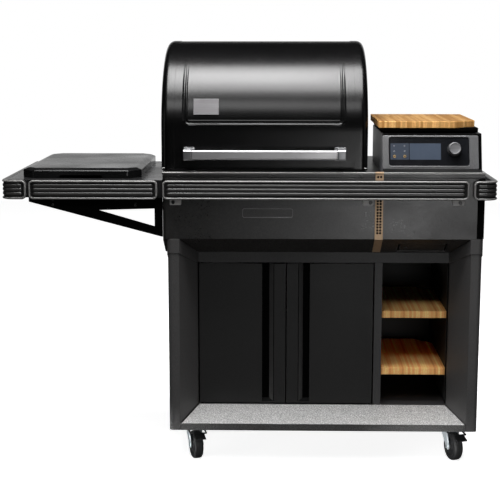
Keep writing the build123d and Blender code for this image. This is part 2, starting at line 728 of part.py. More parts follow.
# ---------------------------------------------------------------- side table and cooktop
def table_solid(inset, bottom):
    """Table block with its two left corners rounded."""
    table = box(TABLE_X[0] + inset, TABLE_X[1] - inset, TABLE_D[0] + inset, TABLE_D[1] - inset,
                bottom, TABLE_TOP - inset)
    return soften(table, edges_along(table, Axis.Z).group_by(Axis.X)[0], 22.5 - inset)


@piece
def side_table():
    return table_solid(0, 845) - table_solid(SHEET, 840)


@piece
def table_brackets():
    outline = [(-668, 896.8), (-668, 831), (-266, 725), (-261.3, 725),
               (-261.3, 844.6), (-263.6, 844.6), (-263.6, 896.8)]
    window = [(-455, 806), (-286, 811), (-286, 757)]
    return tuple(prism_y(outline, d, d + 3) - prism_y(window, d - 1, d + 4)
                 for d in (26.0, 540.0))


@piece
def induction_hob():
    hob = box(-640, -376, 100, 410, TABLE_TOP, 912)
    return soften(hob, edges_along(hob, Axis.Z), 12)


def cover_solid(inset, top):
    """Octagonal block with a bevelled top edge."""
    x0, x1, d0, d1 = -696 + inset, -331 - inset, 58 + inset, 583 - inset
    cut = 38 - 0.414 * inset
    cover = prism_z([(x0, d0 + cut), (x0 + cut, d0), (x1 - cut, d0), (x1, d0 + cut),
                     (x1, d1 - cut), (x1 - cut, d1), (x0 + cut, d1), (x0, d1 - cut)],
                    TABLE_TOP + 0.2, top)
    rim = cover.edges().group_by(Axis.Z)[-1]
    # An even bevel stands in where the kernel can't build the uneven one.
    try:
        return chamfer(rim, 9, 16)
    except Exception:
        return chamfer(rim, 9)


@piece
def cooktop_cover():
    """Hollow cover with a notch low in its front."""
    cover = cover_solid(0, 929) - (Pos(0, 0, -4) * cover_solid(3, 930))
    return cover - box(-578, -450, 50, 70, 899, 909)


# ---------------------------------------------------------------- lid
# Two quarter ellipses meet at the crown; a reach is signed, from the apex to the wall.
LID_FRONT_REACH = LID_F - LID_APEX_D
LID_REAR_REACH = LID_B - LID_APEX_D


def lid_point(reach, base_z, angle):
    """Point (depth, z) and outward unit normal on a quarter ellipse, angle in radians."""
    rise = LID_TOP - base_z
    normal_d, normal_z = math.cos(angle) / reach, math.sin(angle) / rise
    length = math.hypot(normal_d, normal_z)
    return (LID_APEX_D + reach * math.cos(angle), base_z + rise * math.sin(angle),
            normal_d / length, normal_z / length)


def lid_prism(inset, bottom, x0, x1):
    """The lid's side outline, moved in by inset, run from x0 to x1."""
    def arc(reach, base_z, degrees):
        stations = [lid_point(reach, base_z, math.radians(a)) for a in degrees]
        return [(x0, y_at(d - inset * nd), z - inset * nz) for d, z, nd, nz in stations]

    front = arc(LID_FRONT_REACH, LID_KNEE, [90 * i / 8 for i in range(9)])
    rear = arc(LID_REAR_REACH, LID_REAR_Z, [90 - 90 * i / 6 for i in range(7)])
    front_foot = (x0, y_at(LID_F + inset), bottom)
    rear_foot = (x0, y_at(LID_B - inset), bottom)
    outline = make_face([
        Line(front_foot, front[0]),
        Spline(*front, tangents=[(0, 0, 1), (0, 1, 0)]),
        Spline(*rear, tangents=[(0, 1, 0), (0, 0, -1)]),
        Line(rear[-1], rear_foot),
        Line(rear_foot, front_foot)])
    return extrude(outline, amount=x1 - x0, dir=(1, 0, 0))


@piece
def lid_shell():
    left, right = LID_SEAMS
    return (lid_prism(0, LID_BOT, left + 0.4, right - 0.4)
            - lid_prism(LID_SHEET, LID_BOT - 10, left, right))


def end_cap(x0, x1, side):
    """Hollow cap with a rounded outer edge and a pin hole; side is -1 left, +1 right."""
    cap = lid_prism(0, LID_BOT, x0, x1)
    end_face = cap.faces().sort_by(Axis.X)[0 if side < 0 else -1]
    rim = end_face.edges().filter_by(lambda edge: edge.center().Z > LID_BOT + 1)
    cap = soften(cap, rim, 5)
    if side < 0:
        end_x, hollow_x = x0, (x0 + LID_SHEET, x1 + 1)
    else:
        end_x, hollow_x = x1, (x0 - 1, x1 - LID_SHEET)
    cap = cap - lid_prism(LID_SHEET, LID_BOT - 10, *hollow_x)
    return cap - cyl_x(end_x - 8, end_x + 8, *LID_PIVOT, LID_PIN_R + 0.06)


@piece
def lid_end_caps():
    return end_cap(LID_X[0], LID_SEAMS[0], -1), end_cap(LID_SEAMS[1], LID_X[1], 1)


@piece
def lid_liner():
    """Inner skin and the flange round its foot."""
    liner = lid_prism(20, 930, -240, 334) - lid_prism(21.5, 920, -238.5, 332.5)
    flange = (box(-265.3, 358.3, 64.7, 557.3, 930, 931.5)
              - box(-238.5, 332.5, 83.5, 538.5, 920, 940))
    return liner + flange


@piece
def lid_gasket():
    return box(-262, 355, 67, 541, 920.1, 930) - box(-252, 345, 77, 531, 915, 935)


HANDLE_X = (-167, 261)


@piece
def lid_handle_bar():
    bar = box(*HANDLE_X, 12, 30, 960.5, 988.5)
    return soften(bar, edges_along(bar, Axis.X), 4)


@piece
def lid_handle_posts():
    posts = []
    for x0 in (HANDLE_X[0] - 30, HANDLE_X[1]):
        post = box(x0, x0 + 30, 10, LID_F, 958.5, 990.5)
        posts.append(soften(post, edges_along(post, Axis.Z).group_by(Axis.Y)[0], 4))
    return tuple(posts)


@piece
def lid_badge():
    """Plate lying on the lid's front curve."""
    angle = math.asin((1115 - LID_KNEE) / (LID_TOP - LID_KNEE))
    depth, z, normal_d, normal_z = lid_point(LID_FRONT_REACH, LID_KNEE, angle)
    gap = 0.2
    plane = Plane(origin=(-130, y_at(depth + normal_d * gap), z + normal_z * gap),
                  x_dir=(1, 0, 0), z_dir=(0, normal_d, normal_z))
    return plane * (Pos(0, 0, 1.25) * Box(76, 50, 2.5))


# ---------------------------------------------------------------- pins and screws
# Screw heads seen from the front: x, front depth, z, radius. Each is 2 deep.
FRONT_SCREWS = [
    (-208, 28, 911.5, 3.6), (63.5, 28, 911.5, 3.6), (336.6, 28, 911.5, 3.6),
    (-228, 11, 831, 4.2), (366, 11, 831, 4.2), (637.5, 11, 831, 4.2),
    (-595, 24, 836, 3.2), (-343.5, 24, 826, 3.2)]


@piece
def pins_and_screws():
    pins = []
    for x in DOOR_PIN_X:
        for z0, z1 in ((173, 190), (614.5, BAY_TOP)):
            pins.append(cyl_z(x, DOOR_PIN_D, z0, z1, DOOR_PIN_R))
    # Lid pins: shank and head.
    for shank, head in (((-277, -254), (-283, -277)), ((347, 369), (369, 375))):
        pins.append(cyl_x(*shank, *LID_PIVOT, LID_PIN_R) + cyl_x(*head, *LID_PIVOT, 8.5))
    for x0, x1 in HOPPER_PINS_X:
        pins.append(cyl_x(x0, x1, *HOPPER_PIVOT, HOPPER_PIN_R))
    for x, depth, z, radius in FRONT_SCREWS:
        pins.append(cyl_y(x, depth, depth + 2, z, radius))
    # Four under each caster plate.
    for x, depth in CASTERS.values():
        for dx in (-28, 28):
            for dd in (-22, 22):
                pins.append(cyl_z(x + dx, depth + dd, 108.2, 111, 4.5))
    return tuple(pins)


# ---------------------------------------------------------------- write
os.makedirs("parts", exist_ok=True)
for name, build in PIECES.items():
    shapes = build()
    if not isinstance(shapes, tuple):
        shapes = (shapes,)
    solids = [solid for shape in shapes for solid in shape.solids()]
    result = solids[0] if len(solids) == 1 else Compound(children=solids)
    export_step(result, os.path.join("parts", name + ".step"))
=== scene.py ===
"""Grill cart: domed lid, covered side cooktop, sloping control panel, ribbed rails, casters.

Lengths are millimetres unless said otherwise. x runs to the right, depth runs backwards
(+Y) from the front plane of the rails, and z is the height above the floor.
"""
import json
import math

import bmesh
import bpy
import numpy as np
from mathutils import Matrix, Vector


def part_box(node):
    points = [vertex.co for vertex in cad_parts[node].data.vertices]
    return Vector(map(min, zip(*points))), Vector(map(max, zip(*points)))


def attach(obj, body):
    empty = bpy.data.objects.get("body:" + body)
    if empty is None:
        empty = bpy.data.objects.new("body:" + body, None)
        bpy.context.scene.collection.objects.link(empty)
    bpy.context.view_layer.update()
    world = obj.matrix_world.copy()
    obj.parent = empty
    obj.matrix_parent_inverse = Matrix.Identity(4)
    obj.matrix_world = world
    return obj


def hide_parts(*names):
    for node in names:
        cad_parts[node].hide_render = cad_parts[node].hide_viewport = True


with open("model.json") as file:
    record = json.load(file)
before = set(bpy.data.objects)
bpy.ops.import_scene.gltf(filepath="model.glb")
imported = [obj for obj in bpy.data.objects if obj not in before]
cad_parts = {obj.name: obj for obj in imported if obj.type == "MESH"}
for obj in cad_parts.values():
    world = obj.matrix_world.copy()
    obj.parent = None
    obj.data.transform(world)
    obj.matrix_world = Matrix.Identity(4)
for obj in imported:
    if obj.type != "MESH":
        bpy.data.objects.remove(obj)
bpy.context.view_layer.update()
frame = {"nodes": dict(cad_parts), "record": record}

MM = 0.001
rail_low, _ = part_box("ribbed_rails")
FRONT_Y = rail_low.y               # metres
RIGHT, BACK, UP = Vector((1, 0, 0)), Vector((0, 1, 0)), Vector((0, 0, 1))


def point(x, depth, z):
    """Scene point in metres."""
    return (x * MM, FRONT_Y + depth * MM, z * MM)


def place(x, depth, z):
    """The same point as a vector in millimetres."""
    return Vector((x, FRONT_Y / MM + depth, z))


# ===================================================================== shader nodes
MIDDLE = (0.3, 0.7)                # the part of a noise's range that holds most of its values


class Shader:
    """Adds nodes to a tree. A value may be a number, a tuple or another node's socket."""

    def __init__(self, tree):
        self.tree = tree
        self.bsdf = next((n for n in tree.nodes if n.type == "BSDF_PRINCIPLED"), None)

    def feed(self, node, inputs):
        for key, value in inputs.items():
            socket = node.inputs[key]
            if isinstance(value, bpy.types.NodeSocket):
                self.tree.links.new(value, socket)
            elif socket.type == "RGBA":
                socket.default_value = (*value, 1.0)
            else:
                socket.default_value = value

    def add(self, kind, inputs=None, **settings):
        node = self.tree.nodes.new("ShaderNode" + kind)
        for key, value in settings.items():
            setattr(node, key, value)
        self.feed(node, inputs or {})
        return node

    def surface(self, inputs):
        self.feed(self.bsdf, inputs)

    def math(self, operation, *values, clamp=False):
        inputs = dict(enumerate(values))
        return self.add("Math", inputs, operation=operation, use_clamp=clamp).outputs[0]

    def mix(self, factor, first, second):
        inputs = {0: factor, 6: first, 7: second}
        return self.add("Mix", inputs, data_type="RGBA", clamp_factor=True).outputs[2]

    def remap(self, value, span, to=(0.0, 1.0), kind="LINEAR"):
        """Maps the range span of a value onto the range to, clamped."""
        inputs = dict(enumerate((value, *span, *to)))
        return self.add("MapRange", inputs, clamp=True, interpolation_type=kind).outputs[0]

    def coordinate(self, kind):
        return self.add("TexCoord").outputs[kind]

    def coords(self, scale=(1, 1, 1), turn=(0, 0, 0)):
        vector = self.coordinate("Object")
        inputs = {"Vector": vector, "Scale": scale, "Rotation": turn}
        return self.add("Mapping", inputs).outputs["Vector"]

    def noise(self, vector, scale, detail, rough):
        inputs = {"Vector": vector, "Scale": scale, "Detail": detail, "Roughness": rough}
        return self.add("TexNoise", inputs).outputs["Fac"]

    def separate(self, vector):
        return self.add("SeparateXYZ", {0: vector}).outputs

    def along(self, axis, span, to, of="Normal"):
        """A factor from one axis of the object-space normal or position."""
        return self.remap(self.separate(self.coordinate(of))[axis], span, to)

    def scaled(self, colour, factor):
        inputs = {0: colour, "Scale": factor}
        return self.add("VectorMath", inputs, operation="SCALE").outputs[0]

    def rounded(self, radius):
        """Normal with edges rounded by a radius in metres."""
        return self.add("Bevel", {"Radius": radius}, samples=4).outputs[0]

    def edge_mask(self, rounded):
        """One where the rounded normal turns away from the true one, at an edge."""
        inputs = {0: rounded, 1: self.add("NewGeometry").outputs["Normal"]}
        dot = self.add("VectorMath", inputs, operation="DOT_PRODUCT")
        return self.remap(dot.outputs["Value"], span=(0.995, 0.90))

    def bump(self, height, strength, distance, **normal):
        inputs = {"Height": height, "Strength": strength, "Distance": distance, **normal}
        self.surface({"Normal": self.add("Bump", inputs).outputs[0]})

    def brighten(self, factor):
        """Scales the finished base colour."""
        base = self.bsdf.inputs["Base Color"].links[0].from_socket
        self.surface({"Base Color": self.scaled(base, factor)})


def new_shader(name):
    material = bpy.data.materials.new(name)
    material.use_nodes = True
    tree = material.node_tree
    tree.nodes.clear()
    output = tree.nodes.new("ShaderNodeOutputMaterial")
    bsdf = tree.nodes.new("ShaderNodeBsdfPrincipled")
    tree.links.new(bsdf.outputs[0], output.inputs[0])
    return material, Shader(tree)


# ===================================================================== kinds of material
def paint(name, base, rough, speck, grain, bump, wear, extra=None):
    """Speckled coating with edges worn to another colour."""
    look = dict(worn=(0.16, 0.155, 0.15), coat=0.0, specular=0.5, smudge=0.10)
    look.update(extra or {})
    material, sh = new_shader(name)
    coords = sh.coords()
    coarse = sh.noise(coords, scale=grain, detail=2.0, rough=0.6)
    finer = sh.noise(coords, scale=grain * 2.7, detail=1.0, rough=0.5)
    broad = sh.noise(coords, scale=5.0, detail=4.0, rough=0.55)
    specks = sh.math("MULTIPLY", coarse, finer)
    shade = sh.remap(specks, span=(0.20, 0.38), to=(1.0 - speck, 1.0 + speck * 1.4))
    normal = sh.rounded(radius=0.0012)
    patches = sh.noise(coords, scale=60.0, detail=4.0, rough=0.7)
    amount = sh.math("MULTIPLY_ADD", sh.remap(patches, span=(0.42, 0.68)), wear, wear * 0.35)
    worn = sh.math("MULTIPLY", sh.edge_mask(normal), amount, clamp=True)
    half = look["smudge"] * 0.5
    smudges = sh.remap(broad, span=MIDDLE, to=(rough - half, rough + half))
    sh.surface({
        "Base Color": sh.mix(worn, sh.scaled(base, shade), look["worn"]),
        "Roughness": sh.math("ADD", smudges, sh.remap(coarse, span=MIDDLE, to=(-0.03, 0.03)),
                             clamp=True),
        "Specular IOR Level": look["specular"],
        "Coat Weight": look["coat"],
        "Coat Roughness": 0.18,
    })
    sh.bump(specks, strength=bump, distance=0.0006, Normal=normal)
    return material


def metal(name, base, rough, axis, anisotropy, scratch=0.10, spread=0.08, bump=0.06,
          metallic=1.0):
    """Metal brushed along one axis (0, 1 or 2); spread is how far its shade varies."""
    material, sh = new_shader(name)
    stretch = [700.0, 700.0, 700.0]
    stretch[axis] = 9.0
    brush = sh.noise(sh.coords(scale=stretch), scale=1.0, detail=3.0, rough=0.6)
    broad = sh.noise(sh.coords(), scale=9.0, detail=4.0, rough=0.6)
    normal = sh.rounded(radius=0.0010)
    mask = sh.edge_mask(normal)
    darker = tuple(max(0.0, c - spread) for c in base)
    lighter = tuple(min(1.0, c + spread) for c in base)
    colour = sh.mix(sh.remap(brush, span=(0.32, 0.68)), darker, lighter)
    clouds = sh.remap(broad, span=(0.35, 0.75), to=(0.0, 0.30))
    colour = sh.mix(clouds, colour, tuple(c * 0.6 for c in base))
    colour = sh.mix(sh.math("MULTIPLY", mask, 0.5), colour,
                    tuple(min(1.0, c + 0.2) for c in base))
    half = scratch * 0.5
    scratches = sh.remap(brush, span=MIDDLE, to=(rough - half, rough + half))
    sh.surface({
        "Base Color": colour,
        "Roughness": sh.math("ADD", scratches, sh.remap(broad, span=MIDDLE, to=(-0.04, 0.05)),
                             clamp=True),
        "Metallic": metallic,
        "Anisotropic": anisotropy,
    })
    sh.bump(brush, strength=bump, distance=0.0003, Normal=normal)
    return material


def bamboo(name):
    """Edge-glued strips that run front to back, each its own shade, with fibre and knots."""
    material, sh = new_shader(name)
    parts = sh.separate(sh.coordinate("Object"))
    waver = sh.noise(sh.coords(scale=(3, 3, 3)), scale=1.0, detail=2.0, rough=0.5)
    across = sh.math("ADD", parts["X"], sh.remap(waver, span=MIDDLE, to=(-0.0006, 0.0006)))
    length = sh.math("ADD", parts["Y"], sh.math("MULTIPLY", parts["Z"], 0.0))
    strips = sh.add("TexBrick", {
        "Vector": sh.add("CombineXYZ", {0: length, 1: across}).outputs[0],
        "Scale": 1.0,
        "Brick Width": 0.62,
        "Row Height": 0.0068,
        "Mortar Size": 0.00025,
        "Mortar Smooth": 0.5,
        "Bias": 0.0,
        "Color1": (0.0, 0.0, 0.0),
        "Color2": (1.0, 1.0, 1.0),
        "Mortar": (0.4, 0.4, 0.4),
    }, offset=0.37)
    joint = strips.outputs["Fac"]
    grain = sh.noise(sh.coords(scale=(260, 6, 260)), scale=1.0, detail=4.0, rough=0.65)
    fibre = sh.noise(sh.coords(scale=(1500, 22, 700)), scale=1.0, detail=3.0, rough=0.6)
    broad = sh.noise(sh.coords(scale=(42, 2.5, 3)), scale=1.0, detail=3.0, rough=0.6)
    knots = sh.noise(sh.coords(scale=(120, 45, 60)), scale=1.0, detail=2.0, rough=0.5)
    colour = sh.mix(strips.outputs["Color"], (0.31, 0.135, 0.034), (0.82, 0.49, 0.19))
    # each layer: the noise, its span, the strongest cover and the colour it brings
    for layer, span, cover, tint in (
            (broad, (0.32, 0.68), 0.35, (0.60, 0.31, 0.095)),
            (grain, (0.40, 0.72), 0.50, (0.36, 0.165, 0.050)),
            (fibre, (0.52, 0.80), 0.40, (0.86, 0.56, 0.26)),
            (knots, (0.70, 0.80), 0.50, (0.24, 0.105, 0.03))):
        colour = sh.mix(sh.remap(layer, span=span, to=(0.0, cover)), colour, tint)
    colour = sh.mix(sh.math("MULTIPLY", joint, 0.45), colour, (0.20, 0.09, 0.03))
    normal = sh.rounded(radius=0.0015)
    edges = sh.math("MULTIPLY", sh.edge_mask(normal), 0.22)
    sh.surface({
        "Base Color": sh.mix(edges, colour, (0.85, 0.60, 0.32)),
        "Roughness": sh.remap(grain, span=MIDDLE, to=(0.46, 0.62)),
        "Specular IOR Level": 0.3,
    })
    height = sh.math("SUBTRACT", fibre, joint)
    sh.bump(height, strength=0.25, distance=0.0004, Normal=normal)
    return material


def rubber(name):
    """Black rubber with patches of dust."""
    material, sh = new_shader(name)
    coords = sh.coords()
    grain = sh.noise(coords, scale=500.0, detail=3.0, rough=0.6)
    dust = sh.noise(coords, scale=35.0, detail=5.0, rough=0.65)
    dust = sh.remap(dust, span=(0.45, 0.75), to=(0.0, 0.35))
    normal = sh.rounded(radius=0.0015)
    edges = sh.math("MULTIPLY", sh.edge_mask(normal), 0.3)
    colour = sh.mix(dust, (0.012, 0.012, 0.013), (0.035, 0.033, 0.031))
    sh.surface({
        "Base Color": sh.mix(edges, colour, (0.05, 0.05, 0.05)),
        "Roughness": sh.remap(grain, span=MIDDLE, to=(0.55, 0.69)),
    })
    sh.bump(grain, strength=0.2, distance=0.0004, Normal=normal)
    return material


def glossy(name, base, rough, smudge=0.05, specular=0.5, glow=None, strength=0.0):
    """Smooth smudged surface, which may glow."""
    material, sh = new_shader(name)
    coords = sh.coords()
    smears = sh.noise(coords, scale=28.0, detail=5.0, rough=0.65)
    fine = sh.noise(coords, scale=900.0, detail=2.0, rough=0.5)
    haze = sh.remap(smears, span=(0.4, 0.8), to=(0.0, 0.25))
    sheen = sh.remap(smears, span=(0.35, 0.75), to=(rough, rough + smudge))
    sh.surface({
        "Base Color": sh.mix(haze, base, tuple(min(1, c * 1.5 + 0.01) for c in base)),
        "Roughness": sh.math("ADD", sheen, sh.remap(fine, span=MIDDLE, to=(0.0, 0.01))),
        "Normal": sh.rounded(radius=0.0006),
        "Specular IOR Level": specular,
    })
    if glow:
        sh.surface({"Emission Color": glow, "Emission Strength": strength})
    return material


def braid(name):
    """Dark woven cord."""
    material, sh = new_shader(name)
    vector = sh.coords(turn=(0.6, 0.4, 0.8))
    inputs = {"Vector": vector, "Scale": 260.0, "Distortion": 3.0}
    weave = sh.add("TexWave", inputs).outputs["Fac"]
    sh.surface({
        "Base Color": sh.mix(weave, (0.02, 0.02, 0.02), (0.09, 0.09, 0.088)),
        "Roughness": sh.remap(weave, span=(0, 1), to=(0.95, 0.75)),
    })
    sh.bump(weave, strength=0.7, distance=0.001)
    return material


# ===================================================================== materials
# material name, base colour, roughness, speck contrast, grain scale, bump, edge wear, extras
PAINTS = {
    "lid": ("lid_enamel", (0.0012, 0.0012, 0.0013), 0.235, 0.5, 380, 0.16, 0.06,
            dict(worn=(0.03, 0.03, 0.03), specular=0.37, smudge=0.03)),
    "body": ("hammertone_body", (0.0052, 0.0049, 0.0047), 0.33, 0.6, 210, 0.22, 0.12,
             dict(specular=0.75)),
    "cart": ("cart_powder", (0.043, 0.042, 0.043), 0.44, 0.25, 600, 0.10, 0.22),
    "door": ("door_powder", (0.0150, 0.0147, 0.0147), 0.42, 0.3, 620, 0.12, 0.22,
             dict(worn=(0.06, 0.058, 0.055), specular=0.35)),
    "cabinet": ("cabinet_matte", (0.007, 0.007, 0.007), 0.62, 0.2, 500, 0.08, 0.1),
    # pale base: partly the kick plate's own grey paint, partly painted light on its upward
    # slope
    "kick": ("kick_powder", (0.50, 0.495, 0.49), 0.46, 0.5, 330, 0.35, 0.3,
             dict(worn=(0.42, 0.42, 0.41))),
    "hopper": ("hopper_powder", (0.012, 0.012, 0.013), 0.40, 0.25, 560, 0.10, 0.25),
    "cover": ("cover_powder", (0.0042, 0.0042, 0.0044), 0.26, 0.25, 560, 0.08, 0.12),
    "table": ("table_enamel", (0.012, 0.012, 0.0125), 0.28, 0.2, 500, 0.08, 0.15,
              dict(specular=0.33)),
    "porcelain": ("tub_enamel", (0.012, 0.012, 0.013), 0.22, 0.5, 300, 0.06, 0.1,
                  dict(coat=0.4)),
    "rail": ("rail_alloy", (0.026, 0.025, 0.0245), 0.32, 0.2, 500, 0.08, 0.35,
             dict(worn=(0.14, 0.13, 0.13), specular=0.9)),
    # lighter copy of the rail alloy for the border bead: painted highlight
    "rail_bead_highlight": ("rail_alloy_bead_highlight", (0.17, 0.166, 0.162), 0.28, 0.2, 500, 0.08, 0.5,
                  dict(worn=(0.24, 0.23, 0.22), specular=1.0)),
    # darker copy for the groove and the field between the ribs: painted shade
    "rail_groove_shade": ("rail_alloy_groove_shade", (0.008, 0.008, 0.008), 0.5, 0.2, 500, 0.08, 0.05,
                    dict(specular=0.2)),
    "plastic": ("moulded_plastic", (0.018, 0.018, 0.019), 0.50, 0.15, 700, 0.10, 0.15),
    "bezel": ("bezel_satin", (0.115, 0.115, 0.118), 0.28, 0.12, 700, 0.06, 0.35,
              dict(worn=(0.2, 0.2, 0.21))),
    "cast": ("cast_iron", (0.045, 0.042, 0.040), 0.65, 0.4, 250, 0.5, 0.3),
    "frame": ("frame_powder", (0.068, 0.066, 0.066), 0.44, 0.25, 600, 0.10, 0.22),
    # matte black: besides real black parts, the painted shade on strips, discs and bands that
    # stand in for shadow
    "matte": ("matte_black", (0.0018, 0.0018, 0.0018), 0.8, 0.2, 500, 0.05, 0.02,
              dict(specular=0.03)),
    "tab": ("tab_plate", (0.42, 0.41, 0.40), 0.38, 0.1, 600, 0.06, 0.3,
            dict(worn=(0.4, 0.4, 0.4))),
}
# material name, base colour, roughness, brushed axis, anisotropy, extras
METALS = {
    "handle": ("handle_brushed", (0.56, 0.55, 0.56), 0.36, 0, 0.3,
               dict(scratch=0.06, spread=0.04)),
    "post": ("handle_post", (0.30, 0.30, 0.31), 0.34, 2, 0.2, dict(spread=0.03)),
    "badge": ("badge_brushed", (0.17, 0.165, 0.17), 0.50, 0, 0.2,
              dict(spread=0.02, metallic=0.7)),
    "stainless": ("stainless_sheet", (0.52, 0.51, 0.50), 0.34, 0, 0.3, {}),
    "grate": ("grate_steel", (0.46, 0.45, 0.43), 0.30, 1, 0.2, {}),
    "zinc": ("zinc_plate", (0.60, 0.65, 0.68), 0.38, 2, 0.1,
             dict(spread=0.04, bump=0.03, metallic=0.45)),
    "screw": ("screw_steel", (0.05, 0.05, 0.05), 0.30, 2, 0.0, dict(spread=0.04)),
    "dial": ("dial_turned", (0.26, 0.26, 0.27), 0.42, 0, 0.2, dict(spread=0.03)),
    "bronze": ("bronze_strip", (0.50, 0.345, 0.215), 0.42, 2, 0.1,
               dict(spread=0.04, bump=0.08, metallic=0.35)),
    "gold": ("jack_gold", (0.55, 0.36, 0.14), 0.35, 2, 0.0, dict(spread=0.04)),
    "trim": ("trim_steel", (0.30, 0.295, 0.29), 0.34, 0, 0.2, dict(spread=0.04)),
}
looks = {key: paint(*row) for key, row in PAINTS.items()}
looks.update({key: metal(*row, **extra) for key, (*row, extra) in METALS.items()})
looks.update({
    "bamboo": bamboo("bamboo_board"),
    "board": bamboo("bamboo_board_top"),
    "shelf": bamboo("bamboo_shelf_strips"),
    "rubber": rubber("caster_tread"),
    "gasket": braid("gasket_braid"),
    "glass": glossy("panel_glass", (0.006, 0.0065, 0.008), rough=0.16, smudge=0.06,
                    specular=0.22),
    "screen": glossy("display_window", (0.030, 0.038, 0.052), rough=0.18, specular=0.22,
                     glow=(0.10, 0.13, 0.19), strength=0.30),
    "icon": glossy("touch_mark", (0.25, 0.25, 0.26), rough=0.35,
                   glow=(0.5, 0.5, 0.52), strength=0.12),
    "touch": glossy("touch_window_glass", (0.030, 0.036, 0.048), rough=0.18, specular=0.22,
                    glow=(0.08, 0.10, 0.14), strength=0.22),
})


# ===================================================================== shading by direction
def shader_of(key):
    return Shader(looks[key].node_tree)


def paint_light_by_facing():
    """Paints light and shade into the base colour of faces that point one way."""
    # look, normal axis, span of the normal, gains at the two ends of the span
    # board fronts lighter and board and handle tops darker, kick plate front lip darker,
    # hopper left-facing wall 13 times lighter: painted light and shade
    for key, axis, span, gains in (
            ("board", "Z", (0.5, 0.9), (1.45, 0.42)),
            ("handle", "Z", (0.4, 0.9), (1.0, 0.42)),
            ("kick", "Y", (-0.95, -0.7), (0.16, 1.0)),
            ("hopper", "X", (-0.95, -0.8), (13.0, 1.0))):
        sh = shader_of(key)
        sh.brighten(sh.along(axis, span=span, to=gains))
    shader_of("board").surface({"Specular IOR Level": 0.02})
    # a brighter copy of the bamboo for the shelves: painted light on shelves that lie in
    # shade
    shader_of("shelf").brighten(2.15)


def paint_door_light_and_shade():
    """Paints shade into the recessed flat face and onto the tops, and paints light onto the
    deeper canted faces and shade onto the shallower ones.
    """
    sh = shader_of("door")
    recessed = sh.along("Y", span=(-0.2045, -0.2030), to=(0.0, 1.0), of="Object")
    flat = sh.along("Y", span=(-0.98, -0.92), to=(1.0, 0.0))
    upward = sh.along("Z", span=(0.2, 0.5), to=(1.0, 0.25))
    canted = sh.math("MULTIPLY",
                     sh.along("Y", span=(-0.80, -0.75), to=(0.0, 1.0)),
                     sh.along("Y", span=(-0.62, -0.57), to=(1.0, 0.0)))
    by_depth = sh.along("Y", span=(-0.2030, -0.2025), to=(-0.8, 2.6), of="Object")
    canted = sh.math("MULTIPLY", canted, by_depth)
    # painted shade on the recessed flat face
    painted_shade = sh.math("MULTIPLY", sh.math("MULTIPLY", recessed, flat), 0.95)
    gain = sh.math("MULTIPLY", sh.math("SUBTRACT", 1.0, painted_shade), upward)
    gain = sh.math("MULTIPLY", gain, sh.math("ADD", 1.0, canted))
    sh.brighten(gain)
    sh.surface({"Specular IOR Level": sh.math("MULTIPLY", gain, 0.35)})


def brighten_body_paint_underside_light():
    """Brightens the whole body's base colour, and most of all the faces that point down:
    painted light on the undersides.
    """
    sh = shader_of("body")
    under = (-0.5, -0.15)          # upward part of the normal, from underside to side
    down = sh.along("Z", span=under, to=(1.0, 0.0))
    sh.brighten(sh.math("ADD", 1.95, sh.math("MULTIPLY", down, 6.0)))
    sh.surface({"Specular IOR Level": sh.along("Z", span=under, to=(0.12, 0.75))})


paint_light_by_facing()
paint_door_light_and_shade()
brighten_body_paint_underside_light()

LOOK_OF_SLOT = {
    "cart_paint": "cart", "kick_paint": "kick", "cabinet_paint": "cabinet",
    "door_paint": "door", "body_paint": "body", "lid_paint": "lid",
    "porcelain": "porcelain", "cast_pot": "cast", "stainless": "stainless",
    "motor_black": "plastic", "bronze": "bronze", "rail_alloy": "rail",
    "plate_black": "body", "hopper_paint": "hopper", "bezel_black": "bezel",
    "panel_glass": "glass", "dial_black": "plastic", "dial_alloy": "dial",
    "bamboo": "board", "table_steel": "table", "cover_paint": "cover",
    "gasket_braid": "gasket", "handle_steel": "handle", "post_steel": "post",
    "badge_steel": "badge", "zinc_plate": "zinc", "wheel_rubber": "rubber",
    "brake_black": "plastic", "fastener_steel": "screw",
}
# pieces whose look differs from that of their slot
LOOK_OF_PIECE = {
    # hopper_lid_base: matte black as painted shade in the dark band below the board;
    # bamboo_shelves: the brighter shelf copy as painted light
    "cooking_grates": "grate", "hopper_lid_base": "matte", "bamboo_shelves": "shelf",
    "table_brackets": "matte", "side_frames": "frame", "leg_collars": "frame",
}
for part in frame["record"]["subparts"]:
    slots = frame["nodes"][part["node"]].data.materials
    look = LOOK_OF_PIECE.get(part["node"]) or LOOK_OF_SLOT[part["material_slot"]]
    slots.clear()
    slots.append(looks[look])


# ===================================================================== mesh helpers
def add_piece(bm, name, look, body="cart", replaces=None, sharp=38.0, weld=True,
              more_looks=()):
    """Turns the mesh into an object that rides on a body; sharp is an angle in degrees."""
    if weld:
        bmesh.ops.remove_doubles(bm, verts=bm.verts, dist=2e-6)
    bmesh.ops.dissolve_degenerate(bm, edges=bm.edges, dist=1e-6)
    bmesh.ops.recalc_face_normals(bm, faces=bm.faces)
    mesh = bpy.data.meshes.new(name)
    bm.to_mesh(mesh)
    bm.free()
    for key in (look, *more_looks):
        mesh.materials.append(looks[key])
    mesh.shade_smooth()
    mesh.set_sharp_from_angle(angle=math.radians(sharp))
    piece = bpy.data.objects.new(name, mesh)
    bpy.context.scene.collection.objects.link(piece)
    weight = piece.modifiers.new("weight", "WEIGHTED_NORMAL")
    weight.keep_sharp = True
    weight.weight = 80
    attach(piece, body)
    if replaces:
        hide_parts(replaces)


def at_x(outline, x):
    """(depth, z) outline as points at one x."""
    return [point(x, depth, z) for depth, z in outline]


def at_depth(outline, depth):
    """(x, z) outline as points at one depth."""
    return [point(x, depth, z) for x, z in outline]


def at_height(outline, z):
    """(x, depth) outline as points at one height."""
    return [point(x, depth, z) for x, depth in outline]


def verts(bm, points):
    return [bm.verts.new(p) for p in points]


